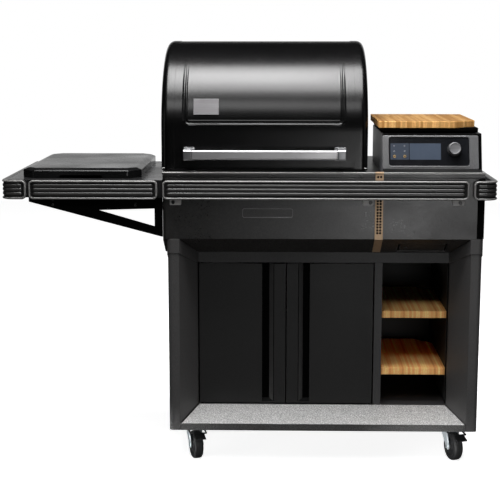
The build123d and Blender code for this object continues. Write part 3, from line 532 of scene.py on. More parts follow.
def bridge(bm, first, second, closed=True):
    """Quads between two rows of vertices."""
    count = len(first)
    for i in range(count if closed else count - 1):
        j = (i + 1) % count
        bm.faces.new((first[i], first[j], second[j], second[i]))


def bridge_rows(bm, rows, closed=True):
    for first, second in zip(rows, rows[1:]):
        bridge(bm, first, second, closed)


def join_rims(bm, outer, inner):
    """Closes the four borders between two grids of vertices."""
    for k in (0, -1):
        bridge(bm, outer[k], inner[k], False)
    for k in (0, -1):
        bridge(bm, [row[k] for row in outer], [row[k] for row in inner], False)


def solid_loft(bm, loops):
    """Closed solid through a stack of loops, capped at both ends."""
    rows = [verts(bm, loop) for loop in loops]
    bridge_rows(bm, rows)
    bm.faces.new(rows[0])
    bm.faces.new(rows[-1])


def ring_loft(bm, loops):
    """Closed ring: the last loop joins the first."""
    rows = [verts(bm, loop) for loop in loops]
    bridge_rows(bm, rows + rows[:1])


def rounded_rect(x0, x1, y0, y1, radius, steps=5):
    """Counter-clockwise from the lower right corner."""
    corners = ((x1 - radius, y0 + radius, -90), (x1 - radius, y1 - radius, 0),
               (x0 + radius, y1 - radius, 90), (x0 + radius, y0 + radius, 180))
    outline = []
    for centre_x, centre_y, start in corners:
        for i in range(steps + 1):
            angle = math.radians(start + 90.0 * i / steps)
            outline.append((centre_x + radius * math.cos(angle),
                            centre_y + radius * math.sin(angle)))
    return outline


def fillet(outline, radius, steps=3):
    """Rounds every corner of a convex outline."""
    rounded = []
    count = len(outline)
    for i in range(count):
        corner = Vector(outline[i])
        before, after = Vector(outline[i - 1]), Vector(outline[(i + 1) % count])
        to_before, to_after = (before - corner).normalized(), (after - corner).normalized()
        angle = to_before.angle(to_after)
        setback = min(radius / math.tan(angle / 2),
                      (before - corner).length * 0.45, (after - corner).length * 0.45)
        arc = setback * math.tan(angle / 2)
        centre = corner + (to_before + to_after).normalized() * (arc / math.sin(angle / 2))
        start = corner + to_before * setback - centre
        end = corner + to_after * setback - centre
        for k in range(steps + 1):
            spoke = start.lerp(end, k / steps)
            spoke = spoke.normalized() * arc if spoke.length > 1e-9 else spoke
            rounded.append((centre.x + spoke.x, centre.y + spoke.y))
    return rounded


def scaled_about(outline, centre, scale_x, scale_y=None):
    scale_y = scale_x if scale_y is None else scale_y
    centre_x, centre_y = centre
    return [(centre_x + (x - centre_x) * scale_x, centre_y + (y - centre_y) * scale_y)
            for x, y in outline]


def lathe(bm, profile, axes, steps=48, closed=False, look_index=0, ripple=None):
    """Turns (radius, height) pairs about axes = (origin, first, second, spindle).

    ripple(i, radius, height) may change the radius at step i.
    """
    origin, first, second, spindle = axes
    rows = []
    for radius, height in profile:
        if radius < 1e-6:
            rows.append([bm.verts.new(tuple((origin + spindle * height) * MM))])
            continue
        row = []
        for i in range(steps):
            angle = 2 * math.pi * i / steps
            reach = ripple(i, radius, height) if ripple else radius
            spoke = (first * math.cos(angle) + second * math.sin(angle)) * reach
            row.append(bm.verts.new(tuple((origin + spindle * height + spoke) * MM)))
        rows.append(row)
    pairs = list(zip(rows, rows[1:]))
    if closed:
        pairs.append((rows[-1], rows[0]))
    for a, b in pairs:
        if len(a) == 1 and len(b) == 1:
            continue
        for i in range(steps):
            j = (i + 1) % steps
            if len(a) == 1:
                corners = (a[0], b[i], b[j])
            elif len(b) == 1:
                corners = (a[i], a[j], b[0])
            else:
                corners = (a[i], a[j], b[j], b[i])
            bm.faces.new(corners).material_index = look_index


def forward_axes(x, depth, z):
    """Lathe axes with the spindle pointing to the front."""
    return place(x, depth, z), RIGHT, UP, -BACK


def smooth_step(t):
    t = max(0.0, min(1.0, t))
    return t * t * (3 - 2 * t)


def lump(t):
    """Cosine hump, one at 0 and zero from -1 and 1 outwards."""
    return (0.5 + 0.5 * math.cos(math.pi * t)) if abs(t) < 1 else 0.0


def corner_distance(a, b, radius):
    """Distance in from a rounded corner, given the distances a and b from its two edges."""
    if a < radius and b < radius:
        return radius - math.hypot(radius - a, radius - b)
    return min(a, b)


# ===================================================================== lid
LID_FRONT, LID_APEX, LID_BACK = 62.0, 400.0, 560.0     # depths
LID_BOTTOM, LID_TOP = 924.0, 1311.0
LID_KNEE, LID_REAR = 1040.0, 1150.0   # heights where the front and rear curves start
SKIN_LEFT, SKIN_RIGHT = -242.6, 335.6
BEAD_LEFT, BEAD_RIGHT, BEAD_BOTTOM = -196.0, 286.0, 1064.0
BEAD_CORNER = 15.0
FADE_START, FADE_END = 1150, 1262     # heights between which the side beads fade out


def lid_profile(inset):
    """(depth, z, normal depth, normal z, run) from the front lower edge over to the back."""
    stations = []

    def quarter(degrees, side, base_z):
        """One point of the elliptical front (side -1) or rear (side 1) quarter."""
        half_depth = LID_APEX - LID_FRONT if side < 0 else LID_BACK - LID_APEX
        half_height = LID_TOP - base_z
        angle = math.radians(degrees)
        depth = LID_APEX + side * half_depth * math.cos(angle)
        z = base_z + half_height * math.sin(angle)
        out_depth, out_z = side * math.cos(angle) / half_depth, math.sin(angle) / half_height
        size = math.hypot(out_depth, out_z)
        stations.append((depth - inset * out_depth / size, z - inset * out_z / size,
                         out_depth / size, out_z / size))

    lip = [LID_BOTTOM + rise for rise in (0, 1.2, 2.6, 4.0, 6.0)]
    for z in lip + list(np.linspace(LID_BOTTOM + 14, LID_KNEE - 6, 9)):
        stations.append((LID_FRONT + inset, z, -1.0, 0.0))
    # the front quarter has a denser band around the pressed bead
    angles = list(np.linspace(0, 90, 61)) + list(np.linspace(2.6, 9.6, 40))
    for degrees in sorted(set(round(a, 3) for a in angles)):
        quarter(degrees, -1, LID_KNEE)
    for degrees in np.linspace(88, 0, 40):
        quarter(degrees, 1, LID_REAR)
    for z in np.linspace(LID_REAR - 30, LID_BOTTOM, 8):
        stations.append((LID_BACK - inset, z, 1.0, 0.0))
    profile, run = [], 0.0
    for i, station in enumerate(stations):
        if i:
            before = stations[i - 1]
            run += math.hypot(station[0] - before[0], station[1] - before[1])
        profile.append((*station, run))
    return profile


def lid_skin():
    profile = lid_profile(1.2)

    def run_at(z):
        return next(p[4] for p in profile if p[1] >= z)

    bead_run, fade_start, fade_end = (run_at(z) for z in (BEAD_BOTTOM, FADE_START, FADE_END))
    apex_run = next(p[4] for p in profile if p[0] >= LID_APEX - 3)

    def bead_height(x, run):
        """Height of the bead pressed round the front: across the bottom and up both sides."""
        if run > apex_run:
            return 0.0
        across = min(x - BEAD_LEFT, BEAD_RIGHT - x)
        along = run - bead_run
        edge = corner_distance(across, along, BEAD_CORNER)
        if across < BEAD_CORNER and along < BEAD_CORNER:
            to_side, to_bottom = BEAD_CORNER - across, BEAD_CORNER - along
            side = to_side / max(1e-6, to_side + to_bottom)
        else:
            side = 1.0 if across < along else 0.0
        fade = 1.0
        if side >= 0.5:
            fade -= smooth_step((run - fade_start) / (fade_end - fade_start))
        wide = 1.0 + 0.5 * (side if side > 0.5 else 0.0)
        height = (2.9 * lump((edge + 1.2) / (4.4 * wide))
                  - 1.9 * lump((edge - 4.9) / (3.4 * wide))
                  + 0.7 * lump((edge - 9.5) / 3.6))
        return height * fade

    # columns are denser across the two side beads
    columns = sorted(set(
        [round(x, 2) for x in np.linspace(SKIN_LEFT, SKIN_RIGHT, 34)]
        + [round(BEAD_LEFT + t, 2) for t in np.linspace(-13, 22, 29)]
        + [round(BEAD_RIGHT + t, 2) for t in np.linspace(-22, 13, 29)]))
    bm = bmesh.new()
    outer, inner = [], []
    for x in columns:
        outside, inside = [], []
        for depth, z, out_depth, out_z, run in profile:
            height = bead_height(x, run)
            if z < LID_BOTTOM + 7 and run < 20:      # swelling along the front lower lip
                height += 1.1 * lump((z - LID_BOTTOM - 2.6) / 3.4)
            sink = 1.6 - height * 0.9
            outside.append(bm.verts.new(
                point(x, depth + out_depth * height, z + out_z * height)))
            inside.append(bm.verts.new(point(x, depth - out_depth * sink, z - out_z * sink)))
        outer.append(outside)
        inner.append(inside)
    bridge_rows(bm, outer, False)
    bridge_rows(bm, inner, False)
    join_rims(bm, outer, inner)
    add_piece(bm, "lid_skin", "lid", body="lid", replaces="lid_shell", sharp=55)


def lid_caps():
    radius, thickness = 22.0, 2.0
    bm = bmesh.new()

    def shell(side, seam, end, lip, wall):
        """Rows of one surface; lip and wall are its insets at the seam and beyond."""
        stations = [(seam, lip), (seam + side * 4, lip), (seam + side * 12, wall),
                    (end - side * radius, wall)]
        arc = radius - wall
        for i in range(1, 9):
            angle = math.radians(90.0 * i / 8)
            stations.append((end - side * (wall + arc - arc * math.sin(angle)),
                             wall + arc - arc * math.cos(angle)))
        return [verts(bm, [point(x, p[0], p[1]) for p in lid_profile(inset)])
                for x, inset in stations]

    for side, seam, end in ((-1, -227.0, -268.0), (1, 320.0, 361.0)):
        outer = shell(side, seam, end, 0.0, 0.0)
        inner = shell(side, seam, end, 1.15, thickness)
        for rows in (outer, inner):
            bridge_rows(bm, rows, False)
        bm.faces.new(outer[-1])
        bm.faces.new(inner[-1])
        bridge(bm, outer[0], inner[0], False)
        for k in (0, -1):
            bridge(bm, [row[k] for row in outer], [row[k] for row in inner], False)
        bm.faces.new((outer[-1][0], outer[-1][-1], inner[-1][-1], inner[-1][0]))
    add_piece(bm, "lid_caps", "lid", body="lid", replaces="lid_end_caps",
              sharp=50)


def lid_handle_bar():
    section = fillet([(16.5, 960.5), (30.0, 960.5), (30.0, 988.5), (16.0, 988.5),
                      (12.0, 985.4), (12.0, 964.5)], 1.4)[::-1]     # (depth, z)
    # x, taper towards the middle of the section
    stations = ((-172.3, 1.4), (-171.3, 0.3), (-170.0, 0.0), (47.0, 0.0), (264.0, 0.0),
                (265.3, 0.3), (266.3, 1.4))
    bm = bmesh.new()
    solid_loft(bm, [
        at_x(scaled_about(section, (21.0, 974.5), 1 - taper / 9.0, 1 - taper / 14.0), x)
        for x, taper in stations])
    add_piece(bm, "lid_handle_bar_mesh", "handle", body="lid",
              replaces="lid_handle_bar", sharp=25)


def lid_handle_posts():
    front, back, low, high = 10.0, 62.0, 958.5, 990.5
    section = fillet([(front, 962.5), (14.0, low), (back, low), (back, high),
                      (15.0, high), (front, 986.5)], 1.6)[::-1]     # (depth, z)
    bm = bmesh.new()
    for x0, x1 in ((-197.0, -167.3), (261.3, 291.0)):
        left = x0 < 0
        start, end = (x0, x1 - 5.2) if left else (x0 + 5.2, x1)
        solid_loft(bm, [
            [point(x, max(front + trim, min(back, depth)),
                   max(low + trim, min(high - trim, z))) for depth, z in section]
            for x, trim in ((start, 2.2), (start + 0.7, 0.8), (start + 2.2, 0.0),
                            (end - 2.2, 0.0), (end - 0.7, 0.8), (end, 2.2))])
        # the shoulder behind the end of the bar
        start, end = (x1 - 5.0, x1 + 2.0) if left else (x0 - 2.0, x0 + 5.0)
        solid_loft(bm, [
            at_x([(30.5 + trim, 958.9 + trim), (back, 958.9 + trim), (back, 990.1 - trim),
                  (30.5 + trim, 990.1 - trim)], x)
            for x, trim in ((start, 0.0), (end - 1.0, 0.0), (end, 1.0))])
        # base flange against the lid
        flange = rounded_rect(x0 - 3.0, x1 + 3.0, 954.5, 994.5, 4.0, 4)
        solid_loft(bm, [at_depth(flange, 60.4), at_depth(flange, 63.0)])
    add_piece(bm, "lid_handle_post_mesh", "post", body="lid",
              replaces="lid_handle_posts", sharp=28, weld=False)


lid_skin()
lid_caps()
lid_handle_bar()
lid_handle_posts()


# ===================================================================== ribbed rails
RAIL_LOW, RAIL_HIGH, RAIL_THICK = 841.0, 899.0, 18.0
RAIL_CORNER = 14.0                 # radius of a rail's corners seen from the front
RAIL_BEND = 40.0                   # radius where a rail turns round the cart's corner
RAIL_ROWS = 66
BORDER_DEPTH, BORDER_HALF = 3.4, 3.3   # rounded border bead: depth and half width
RIB_HEIGHTS = (857.6, 870.0, 882.4)
RIB_START, RIB_RISE, RIB_HALF = 19.0, 3.1, 5.5
FIELD_DEPTH = 4.3                  # flat field between the ribs
# distances of the mesh columns from each end
END_COLUMNS = [0.15, 0.7, 1.5, 2.4, 3.3, 4.2, 5.1, 6.0, 6.8, 7.6, 8.6, 9.8, 11.2, 12.6, 13.4,
               14.3, 15.2, 16.2, 17.4, 19.0, 22.0]


def rail_edge(from_end, z):
    return corner_distance(from_end, min(z - RAIL_LOW, RAIL_HIGH - z), RAIL_CORNER)


def rail_depth(from_end, z):
    """How far the face lies behind the rail's front."""
    edge = max(0.0, rail_edge(from_end, z))
    if edge < 2 * BORDER_HALF:
        across = (edge - BORDER_HALF) / BORDER_HALF
        return BORDER_DEPTH - BORDER_DEPTH * math.sqrt(max(0.0, 1 - across ** 2))
    if edge < 8.6:
        return BORDER_DEPTH + 0.9 * smooth_step((edge - 2 * BORDER_HALF) / 1.0)
    depth = FIELD_DEPTH
    for rib_z in RIB_HEIGHTS:
        away = math.hypot(max(0.0, RIB_START - from_end), z - rib_z)
        if away < RIB_HALF:
            rise = RIB_RISE * math.sqrt(max(0.0, 1 - (away / RIB_HALF) ** 2))
            depth = min(depth, FIELD_DEPTH - rise)
    return depth


def rail_columns(length, bend):
    """Runs of the mesh columns; bend is empty or holds the (start, end) of the bend."""
    columns = END_COLUMNS + [length - e for e in END_COLUMNS]
    run = END_COLUMNS[-1]
    last = length - END_COLUMNS[-1] - 1
    while run < last:
        run += 4.0 if any(a - 2 <= run <= b + 2 for a, b in bend) else 26.0
        if run < last:
            columns.append(run)
    for a, b in bend:
        columns += list(np.linspace(a, b, max(4, int((b - a) / 3.6))))
    return sorted(set(round(c, 3) for c in columns))


def rail_piece(bm, path, length, bend=()):
    """path(run) gives x, depth and the outward normal's x and depth parts."""
    columns = rail_columns(length, bend)
    front, back = [], []
    for run in columns:
        x, depth, out_x, out_depth = path(run)
        from_end = min(run, length - run)
        inset = 0.0
        if from_end < RAIL_CORNER:
            inset = RAIL_CORNER - math.sqrt(
                max(0.0, RAIL_CORNER ** 2 - (RAIL_CORNER - from_end) ** 2))
        front_row, back_row = [], []
        for i in range(RAIL_ROWS + 1):
            z = RAIL_LOW + inset + (RAIL_HIGH - RAIL_LOW - 2 * inset) * i / RAIL_ROWS
            near = rail_depth(from_end, z)
            for row, sink in ((front_row, near), (back_row, RAIL_THICK - near)):
                row.append(bm.verts.new(
                    point(x - out_x * sink, depth - out_depth * sink, z)))
        front.append(front_row)
        back.append(back_row)
    bridge_rows(bm, back, False)
    for k, (a, b) in enumerate(zip(front, front[1:])):
        run = (columns[k] + columns[k + 1]) / 2
        from_end = min(run, length - run)
        for i in range(RAIL_ROWS):
            z = (a[i].co.z + a[i + 1].co.z) / 2 / MM
            edge = rail_edge(from_end, z)
            face = bm.faces.new((a[i], a[i + 1], b[i + 1], b[i]))
            # border bead faces take the painted-highlight copy, groove and field faces the
            # painted-shade copy
            if edge < 5.9:
                face.material_index = 1            # border bead
            elif edge < 8.2 or rail_depth(from_end, z) > 3.75:
                face.material_index = 2            # groove and field
    join_rims(bm, front, back)


def straight_rail(bm, x0, length):
    rail_piece(bm, lambda run: (x0 + run, 0.0, 0.0, -1.0), length)


def corner_rail(bm, x_start, x_side, depth_end, side):
    """Runs along the front, round the corner and back along the side."""
    straight = abs(x_side - x_start) - RAIL_BEND
    arc = RAIL_BEND * math.pi / 2

    def path(run):
        if run < straight:
            return (x_start + side * run, 0.0, 0.0, -1.0)
        if run < straight + arc:
            angle = (run - straight) / RAIL_BEND
            return (x_side - side * RAIL_BEND + side * RAIL_BEND * math.sin(angle),
                    RAIL_BEND - RAIL_BEND * math.cos(angle),
                    side * math.sin(angle), -math.cos(angle))
        return (x_side, RAIL_BEND + (run - straight - arc), float(side), 0.0)

    rail_piece(bm, path, straight + arc + (depth_end - RAIL_BEND),
               [(straight, straight + arc)])


def rails():
    bm = bmesh.new()
    straight_rail(bm, -260.0, 921.0)
    straight_rail(bm, -664.0, 389.0)
    corner_rail(bm, -671.0, -749.5, 590.0, -1)
    corner_rail(bm, 675.0, 749.5, 500.0, 1)
    add_piece(bm, "ribbed_rail_meshes", "rail", replaces="ribbed_rails",
              sharp=50, more_looks=("rail_bead_highlight", "rail_groove_shade"))


TAB_SCREW_Z = 833.2


def rail_tabs():
    bm = bmesh.new()
    for x0, x1 in ((-238.5, -204.0), (344.0, 376.0), (613.5, 648.0)):
        tab = rounded_rect(x0, x1, 823.5, 843.0, 3.0, 3)
        face = scaled_about(tab, ((x0 + x1) / 2, TAB_SCREW_Z), 0.96)
        solid_loft(bm, [at_depth(tab, 19.6), at_depth(tab, 14.6), at_depth(face, 14.0)])
    add_piece(bm, "rail_tabs", "tab", sharp=30, weld=False)


rails()
rail_tabs()


# ===================================================================== cooktop cover
COVER_X, COVER_DEPTH = (-696.0, -331.0), (58.0, 583.0)
COVER_CHAMFER = 38.0
# extra points along the front edge, at the ends of the notch and between them
NOTCH_COLUMNS = (-584.0, -581.5, -578.0, -574.0, -520.0, -454.0, -450.0, -446.5, -444.0)
# inset, z, whether the front edge is notched; from the rim up to the top
COVER_OUTSIDE = (
    (0.4, 899.2, True), (0.0, 900.4, True), (0.0, 920.2, False), (0.3, 921.4, False),
    (1.1, 922.4, False), (2.6, 923.2, False), (7.0, 925.0, False), (11.0, 926.7, False),
    (14.0, 927.8, False), (17.0, 928.5, False), (21.0, 928.88, False), (28.0, 929.0, False))
COVER_INSIDE = (
    (3.0, 899.2, True), (3.0, 915.6, False), (6.0, 918.6, False), (18.0, 924.6, False),
    (30.0, 926.0, False))


def cover_outline(inset):
    """(x, depth) outline with chamfered, rounded corners."""
    x0, x1 = COVER_X[0] + inset, COVER_X[1] - inset
    front, back = COVER_DEPTH[0] + inset, COVER_DEPTH[1] - inset
    cut = max(4.0, COVER_CHAMFER - 0.586 * inset)
    corners = fillet([(x0 + cut, front), (x1 - cut, front), (x1, front + cut),
                      (x1, back - cut), (x1 - cut, back), (x0 + cut, back),
                      (x0, back - cut), (x0, front + cut)], 9.0)
    outline = []
    for i, here in enumerate(corners):
        outline.append(here)
        after = corners[(i + 1) % len(corners)]
        on_front = abs(here[1] - front) < 1e-3 and abs(after[1] - front) < 1e-3
        if on_front and abs(after[0] - here[0]) > 100:
            outline += [(x, front) for x in NOTCH_COLUMNS]
    return outline


def cover_row(inset, z, notched):
    row = []
    for x, depth in cover_outline(inset):
        lift = 0.0
        if notched and depth < 70 + inset and -578.5 < x < -449.5:
            lift = 9.6 if -574.5 < x < -453.5 else 7.4
        row.append(point(x, depth, z + lift))
    return row


def cooktop_cover():
    bm = bmesh.new()
    outside = [verts(bm, cover_row(*level)) for level in COVER_OUTSIDE]
    inside = [verts(bm, cover_row(*level)) for level in COVER_INSIDE]
    bridge_rows(bm, outside)
    bridge_rows(bm, inside)
    bm.faces.new(outside[-1])
    bm.faces.new(inside[-1])
    bridge(bm, outside[0], inside[0])
    add_piece(bm, "cooktop_cover_mesh", "cover", body="cooktop_cover",
              replaces="cooktop_cover", sharp=42)


cooktop_cover()


# ===================================================================== control panel
# panel coordinates: x, rise up the slope, and out of the slope
PANEL_FOOT = (27.0, 932.0)         # depth, z
PANEL_RISE = Vector((0.0, 33.0, 105.0)).normalized()
PANEL_OUT = Vector((0.0, -PANEL_RISE.z, PANEL_RISE.y))
PANEL_MIDDLE = (545.0, 55.0)       # x, rise
JACKS = (438.0, 469.0)             # x of the two probe jacks
JACK_RISE = 38.7
DIAL_X, DIAL_RISE = 617.0, 59.75


def panel_point(x, rise, out):
    spot = place(0.0, *PANEL_FOOT) + PANEL_RISE * rise + PANEL_OUT * out
    return (x * MM, spot.y * MM, spot.z * MM)


def on_panel(outline, out, inset=0.0):
    """Outline on the panel with each point moved in towards the middle along both axes."""
    return [panel_point(x - inset * (1 if x > PANEL_MIDDLE[0] else -1),
                        rise - inset * (1 if rise > PANEL_MIDDLE[1] else -1), out)
            for x, rise in outline]


def panel_axes(x, rise):
    return place(x, *PANEL_FOOT) + PANEL_RISE * rise, RIGHT, PANEL_RISE, PANEL_OUT


def control_bezel():
    outer = rounded_rect(402.0, 690.0, 0.0, 103.2, 4.0, 6)
    crest = rounded_rect(417.5, 666.5, 5.5, 101.5, 12.0, 6)
    window = rounded_rect(421.5, 662.5, 9.5, 97.5, 8.0, 6)
    bm = bmesh.new()
    # outline, inset, out
    ring_loft(bm, [on_panel(outline, out, inset) for outline, inset, out in (
        (outer, 0, 0.0), (outer, 0, 3.6), (outer, 0.5, 4.6), (outer, 1.6, 5.0),
        (crest, -0.6, 5.0), (crest, 0.2, 5.7), (crest, 1.0, 6.0),
        (window, -1.4, 6.0), (window, -0.5, 5.7), (window, 0, 4.9), (window, 0, 0.0))])
    add_piece(bm, "control_bezel_mesh", "bezel", replaces="control_bezel",
              sharp=40)


def hopper_front_roll():
    """Rolled edge above the bezel and the rounded corner at its right, in matte black:
    painted shade.
    """
    root = 103.3
    roll = [(root, 0.1), (root, 3.6), (104.2, 4.5), (106.0, 4.6), (108.2, 3.7),
            (109.7, 2.0), (110.2, 0.1)]              # (rise, out)
    bm = bmesh.new()
    solid_loft(bm, [
        [panel_point(x, *spot) for spot in scaled_about(roll, (root, 0.0), 1 - shrink)]
        for x, shrink in ((402.0, 0.35), (402.8, 0.1), (404.5, 0.0), (551.0, 0.0),
                          (690.0, 0.0))])
    corner = [(690.2, 0.1), (690.2, 4.6), (691.5, 4.9)]       # (x, out)
    for i in range(1, 8):
        angle = math.radians(90.0 * i / 8)
        corner.append((692.0 + 8.0 * math.sin(angle), -3.1 + 8.0 * math.cos(angle)))
    corner += [(700.0, -3.1), (700.0, -6.0), (697.5, 0.1)]
    solid_loft(bm, [
        [panel_point(x, rise, out - (drop if out > 0.5 else 0.0)) for x, out in corner]
        for rise, drop in ((0.0, 0.0), (55.0, 0.0), (103.0, 0.0), (106.0, 0.5),
                           (108.6, 1.8), (110.2, 3.8))])
    add_piece(bm, "hopper_front_roll", "matte", sharp=40, weld=False)


def control_glass():
    glass = rounded_rect(421.9, 662.1, 9.9, 97.1, 7.6, 6)
    bm = bmesh.new()
    solid_loft(bm, [on_panel(glass, 0.7), on_panel(glass, 3.2), on_panel(glass, 3.6, 0.4)])
    add_piece(bm, "control_glass_mesh", "glass", replaces="control_glass",
              sharp=35)


def panel_windows():
    for name, x0, x1, out, look in (("display_window", 483.5, 577.0, 3.72, "screen"),
                                    ("touch_window", 426.0, 481.5, 3.68, "touch")):
        window = rounded_rect(x0, x1, 29.0, 78.8, 1.2, 3)
        bm = bmesh.new()
        solid_loft(bm, [on_panel(window, 3.4), on_panel(window, out)])
        add_piece(bm, name, look, sharp=35)


def touch_marks():
    steps = 20
    bm = bmesh.new()
    for x, rise in ((437.0, 71.3), (468.0, 71.3), (437.0, 55.0), (468.5, 55.4)):
        ring_loft(bm, [
            [panel_point(x + radius * math.cos(2 * math.pi * i / steps),
                         rise + radius * math.sin(2 * math.pi * i / steps), out)
             for i in range(steps)]
            for radius, out in ((2.3, 3.60), (2.3, 3.86), (1.5, 3.86), (1.5, 3.60))])
    add_piece(bm, "touch_marks", "icon", sharp=35, weld=False)


def probe_jacks():
    collar = [(4.3, 3.0), (4.3, 4.4), (3.9, 4.9), (2.6, 5.0), (2.2, 4.8), (2.0, 4.2),
              (2.0, 3.0)]
    core = [(0.0, 2.9), (1.9, 2.9), (1.9, 3.6), (0.0, 3.7)]
    bm = bmesh.new()
    for x in JACKS:
        axes = panel_axes(x, JACK_RISE)
        lathe(bm, collar, axes, 28, closed=True)
        lathe(bm, core, axes, 20)
    add_piece(bm, "probe_jacks", "gold", sharp=30, weld=False)


def dial():
    ring = [(13.0, 5.3), (20.2, 5.3), (21.0, 5.9), (21.0, 7.6), (20.4, 8.6), (19.4, 9.0),
            (13.0, 9.0)]
    cap = [(0.0, 9.4), (17.2, 9.4), (18.2, 9.9), (18.6, 11.2), (18.6, 21.6), (18.45, 22.6),
           (17.6, 24.2), (16.9, 24.9), (16.2, 25.0), (15.2, 24.75), (14.4, 24.45),
           (8.0, 24.25), (0.0, 24.2)]
    axes = panel_axes(DIAL_X, DIAL_RISE)

    def knurl(i, radius, height):
        """Ridges round the cap's straight wall."""
        if 11.0 <= height <= 21.8 and radius > 18.5:
            return radius + (0.35 if i % 2 else -0.15)
        return radius

    bm = bmesh.new()
    lathe(bm, ring, axes, 72, closed=True)
    add_piece(bm, "dial_ring_mesh", "plastic", body="dial_press",
              replaces="dial_ring", sharp=30)
    bm = bmesh.new()
    lathe(bm, cap, axes, 120, ripple=knurl)
    add_piece(bm, "dial_cap_mesh", "dial", body="dial", replaces="dial_cap",
              sharp=30)


control_bezel()
hopper_front_roll()
control_glass()
panel_windows()
touch_marks()
probe_jacks()
dial()


# ===================================================================== casters
# x and depth of each swivel
CASTERS = {"fl": (-178.0, 122.0), "fr": (639.0, 122.0),
           "rl": (-178.0, 478.0), "rr": (639.0, 478.0)}
SWIVEL = math.radians(18.0)
SWIVEL_COS, SWIVEL_SIN = math.cos(SWIVEL), math.sin(SWIVEL)
ACROSS = Vector((SWIVEL_COS, SWIVEL_SIN, 0))       # along the axle
ALONG = Vector((-SWIVEL_SIN, SWIVEL_COS, 0))
AXLE_Y, AXLE_Z = -28, 44.5         # the axle trails in front of the swivel
# (radius, height along the axle or swivel)
HALF_TYRE = [(30.5, -13.0), (33.5, -14.6), (36.0, -15.0), (39.5, -14.3), (42.3, -12.2),
             (43.8, -9.4), (44.3, -6.6), (44.45, -5.6), (43.9, -5.2), (43.9, -4.6),
             (44.5, -4.2)]
TYRE_BORE = [(30.5, 11.5), (29.5, 8.0), (29.5, -8.0), (30.5, -11.5)]
HALF_HUB = [(6.3, -17.2), (12.0, -17.2), (13.0, -16.4), (13.0, -12.8), (15.0, -11.2),
            (27.0, -9.8), (29.3, -11.6), (30.4, -11.4)]
SWIVEL_CUP = [(6.05, 94.0), (19.5, 94.0), (21.0, 96.6), (21.0, 100.2), (20.2, 101.4),
              (18.6, 101.9), (18.4, 102.9), (20.0, 103.5), (20.9, 104.8), (20.9, 108.0),
              (19.6, 109.8), (17.0, 110.4), (6.05, 110.4)]
FORK_LEG = [(-20, 96.0), (-24.5, 84.0), (-39.0, 45.5), (-36.5, 38.0), (-30.0, 34.2),
            (-22.5, 36.0), (-17.5, 42.0), (14.0, 76.0), (20, 92.0), (20, 96.0)]   # (y, z)
FRONT_PLATE = ((-34, 92.6), (-15, 92.6), (-15, 97.0), (-32, 97.0), (-34, 95.6))   # (y, z)


def mirrored(half):
    return [(radius, -height) for radius, height in reversed(half)]


def caster_place(key, x, y, z):
    """Swivelled caster coordinates to a vector in millimetres."""
    centre_x, centre_depth = CASTERS[key]
    return Vector((centre_x + x * SWIVEL_COS - y * SWIVEL_SIN,
                   FRONT_Y / MM + centre_depth + x * SWIVEL_SIN + y * SWIVEL_COS, z))


def wheel(key):
    axes = (caster_place(key, 0, AXLE_Y, AXLE_Z), ALONG, UP, ACROSS)
    bm = bmesh.new()
    tyre = HALF_TYRE + [(44.5, 0.0)] + mirrored(HALF_TYRE) + TYRE_BORE
    lathe(bm, tyre, axes, 64, closed=True)
    lathe(bm, HALF_HUB + mirrored(HALF_HUB), axes, 64, closed=True, look_index=1)
    add_piece(bm, "wheel_mesh_" + key, "rubber", body="wheel_" + key,
              replaces="caster_wheel_" + key, sharp=35, weld=False,
              more_looks=("plastic",))


def fork(key):
    def spot(x, y, z):
        return tuple(caster_place(key, x, y, z) * MM)

    bm = bmesh.new()
    # pressed crown
    crown = fillet([(-20.5, -20), (20.5, -20), (20.5, 20), (-20.5, 20)], 5.0, 4)
    solid_loft(bm, [[spot(x * scale, y * scale, z) for x, y in crown]
                    for scale, z in ((0.97, 93.0), (1, 93.6), (1, 95.6), (0.96, 96.5))])
    # swivel cup
    swivel_axes = (caster_place(key, 0, 0, AXLE_Z), ACROSS, ALONG, UP)
    lathe(bm, [(radius, z - AXLE_Z) for radius, z in SWIVEL_CUP], swivel_axes, closed=True)
    # tapered legs, each with a raised panel on its outer or +x face
    leg = fillet(FORK_LEG, 5.0)
    panel = [(y * 0.90 - 2.2, z * 0.93 + 4.0) for y, z in leg]
    for x0, x1, side in ((18.0, 20.5, 1), (-20.5, -18.0, -1)):
        solid_loft(bm, [[spot(x, y, z) for y, z in leg] for x in (x0, x1)])
        outside = x1 if side > 0 else x0
        solid_loft(bm, [
            [spot(outside - 0.2 * side, y, z) for y, z in panel],
            [spot(outside + 0.9 * side, y * 0.97 - 0.6, z * 0.97 + 1.8) for y, z in panel]])
    # axle and its hex ends
    axle_axes = (caster_place(key, 0, AXLE_Y, AXLE_Z), ALONG, UP, ACROSS)
    lathe(bm, [(0.0, -21.0), (5.9, -21.0), (5.9, 21.0), (0.0, 21.0)], axle_axes, 24)
    hexagon = [(6.6 * math.cos(math.radians(60 * i + 12)),
                6.6 * math.sin(math.radians(60 * i + 12))) for i in range(6)]
    for side in (-1, 1):
        solid_loft(bm, [
            [spot(side * reach, AXLE_Y + y * scale, AXLE_Z + z * scale) for y, z in hexagon]
            for reach, scale in ((20.6, 1.0), (23.2, 1.0), (23.9, 0.86))])
    if key in ("fl", "fr"):
        # front casters: a plate and a headed pin on each side
        for x0, x1 in ((18.0, 20.4), (-20.4, -18.0)):
            solid_loft(bm, [[spot(x, y, z) for y, z in FRONT_PLATE] for x in (x0, x1)])
        pin = [(0.0, 20.0), (2.0, 20.0), (2.0, 26.8), (3.2, 26.8), (3.2, 27.5), (0.0, 27.8)]
        for side in (-1, 1):
            pin_axes = (caster_place(key, 0, -31.0, 94.8), ALONG, UP, ACROSS * side)
            lathe(bm, pin, pin_axes, 20)
    add_piece(bm, "fork_mesh_" + key, "zinc", body="caster_" + key,
              replaces="caster_fork_" + key, sharp=32, weld=False)


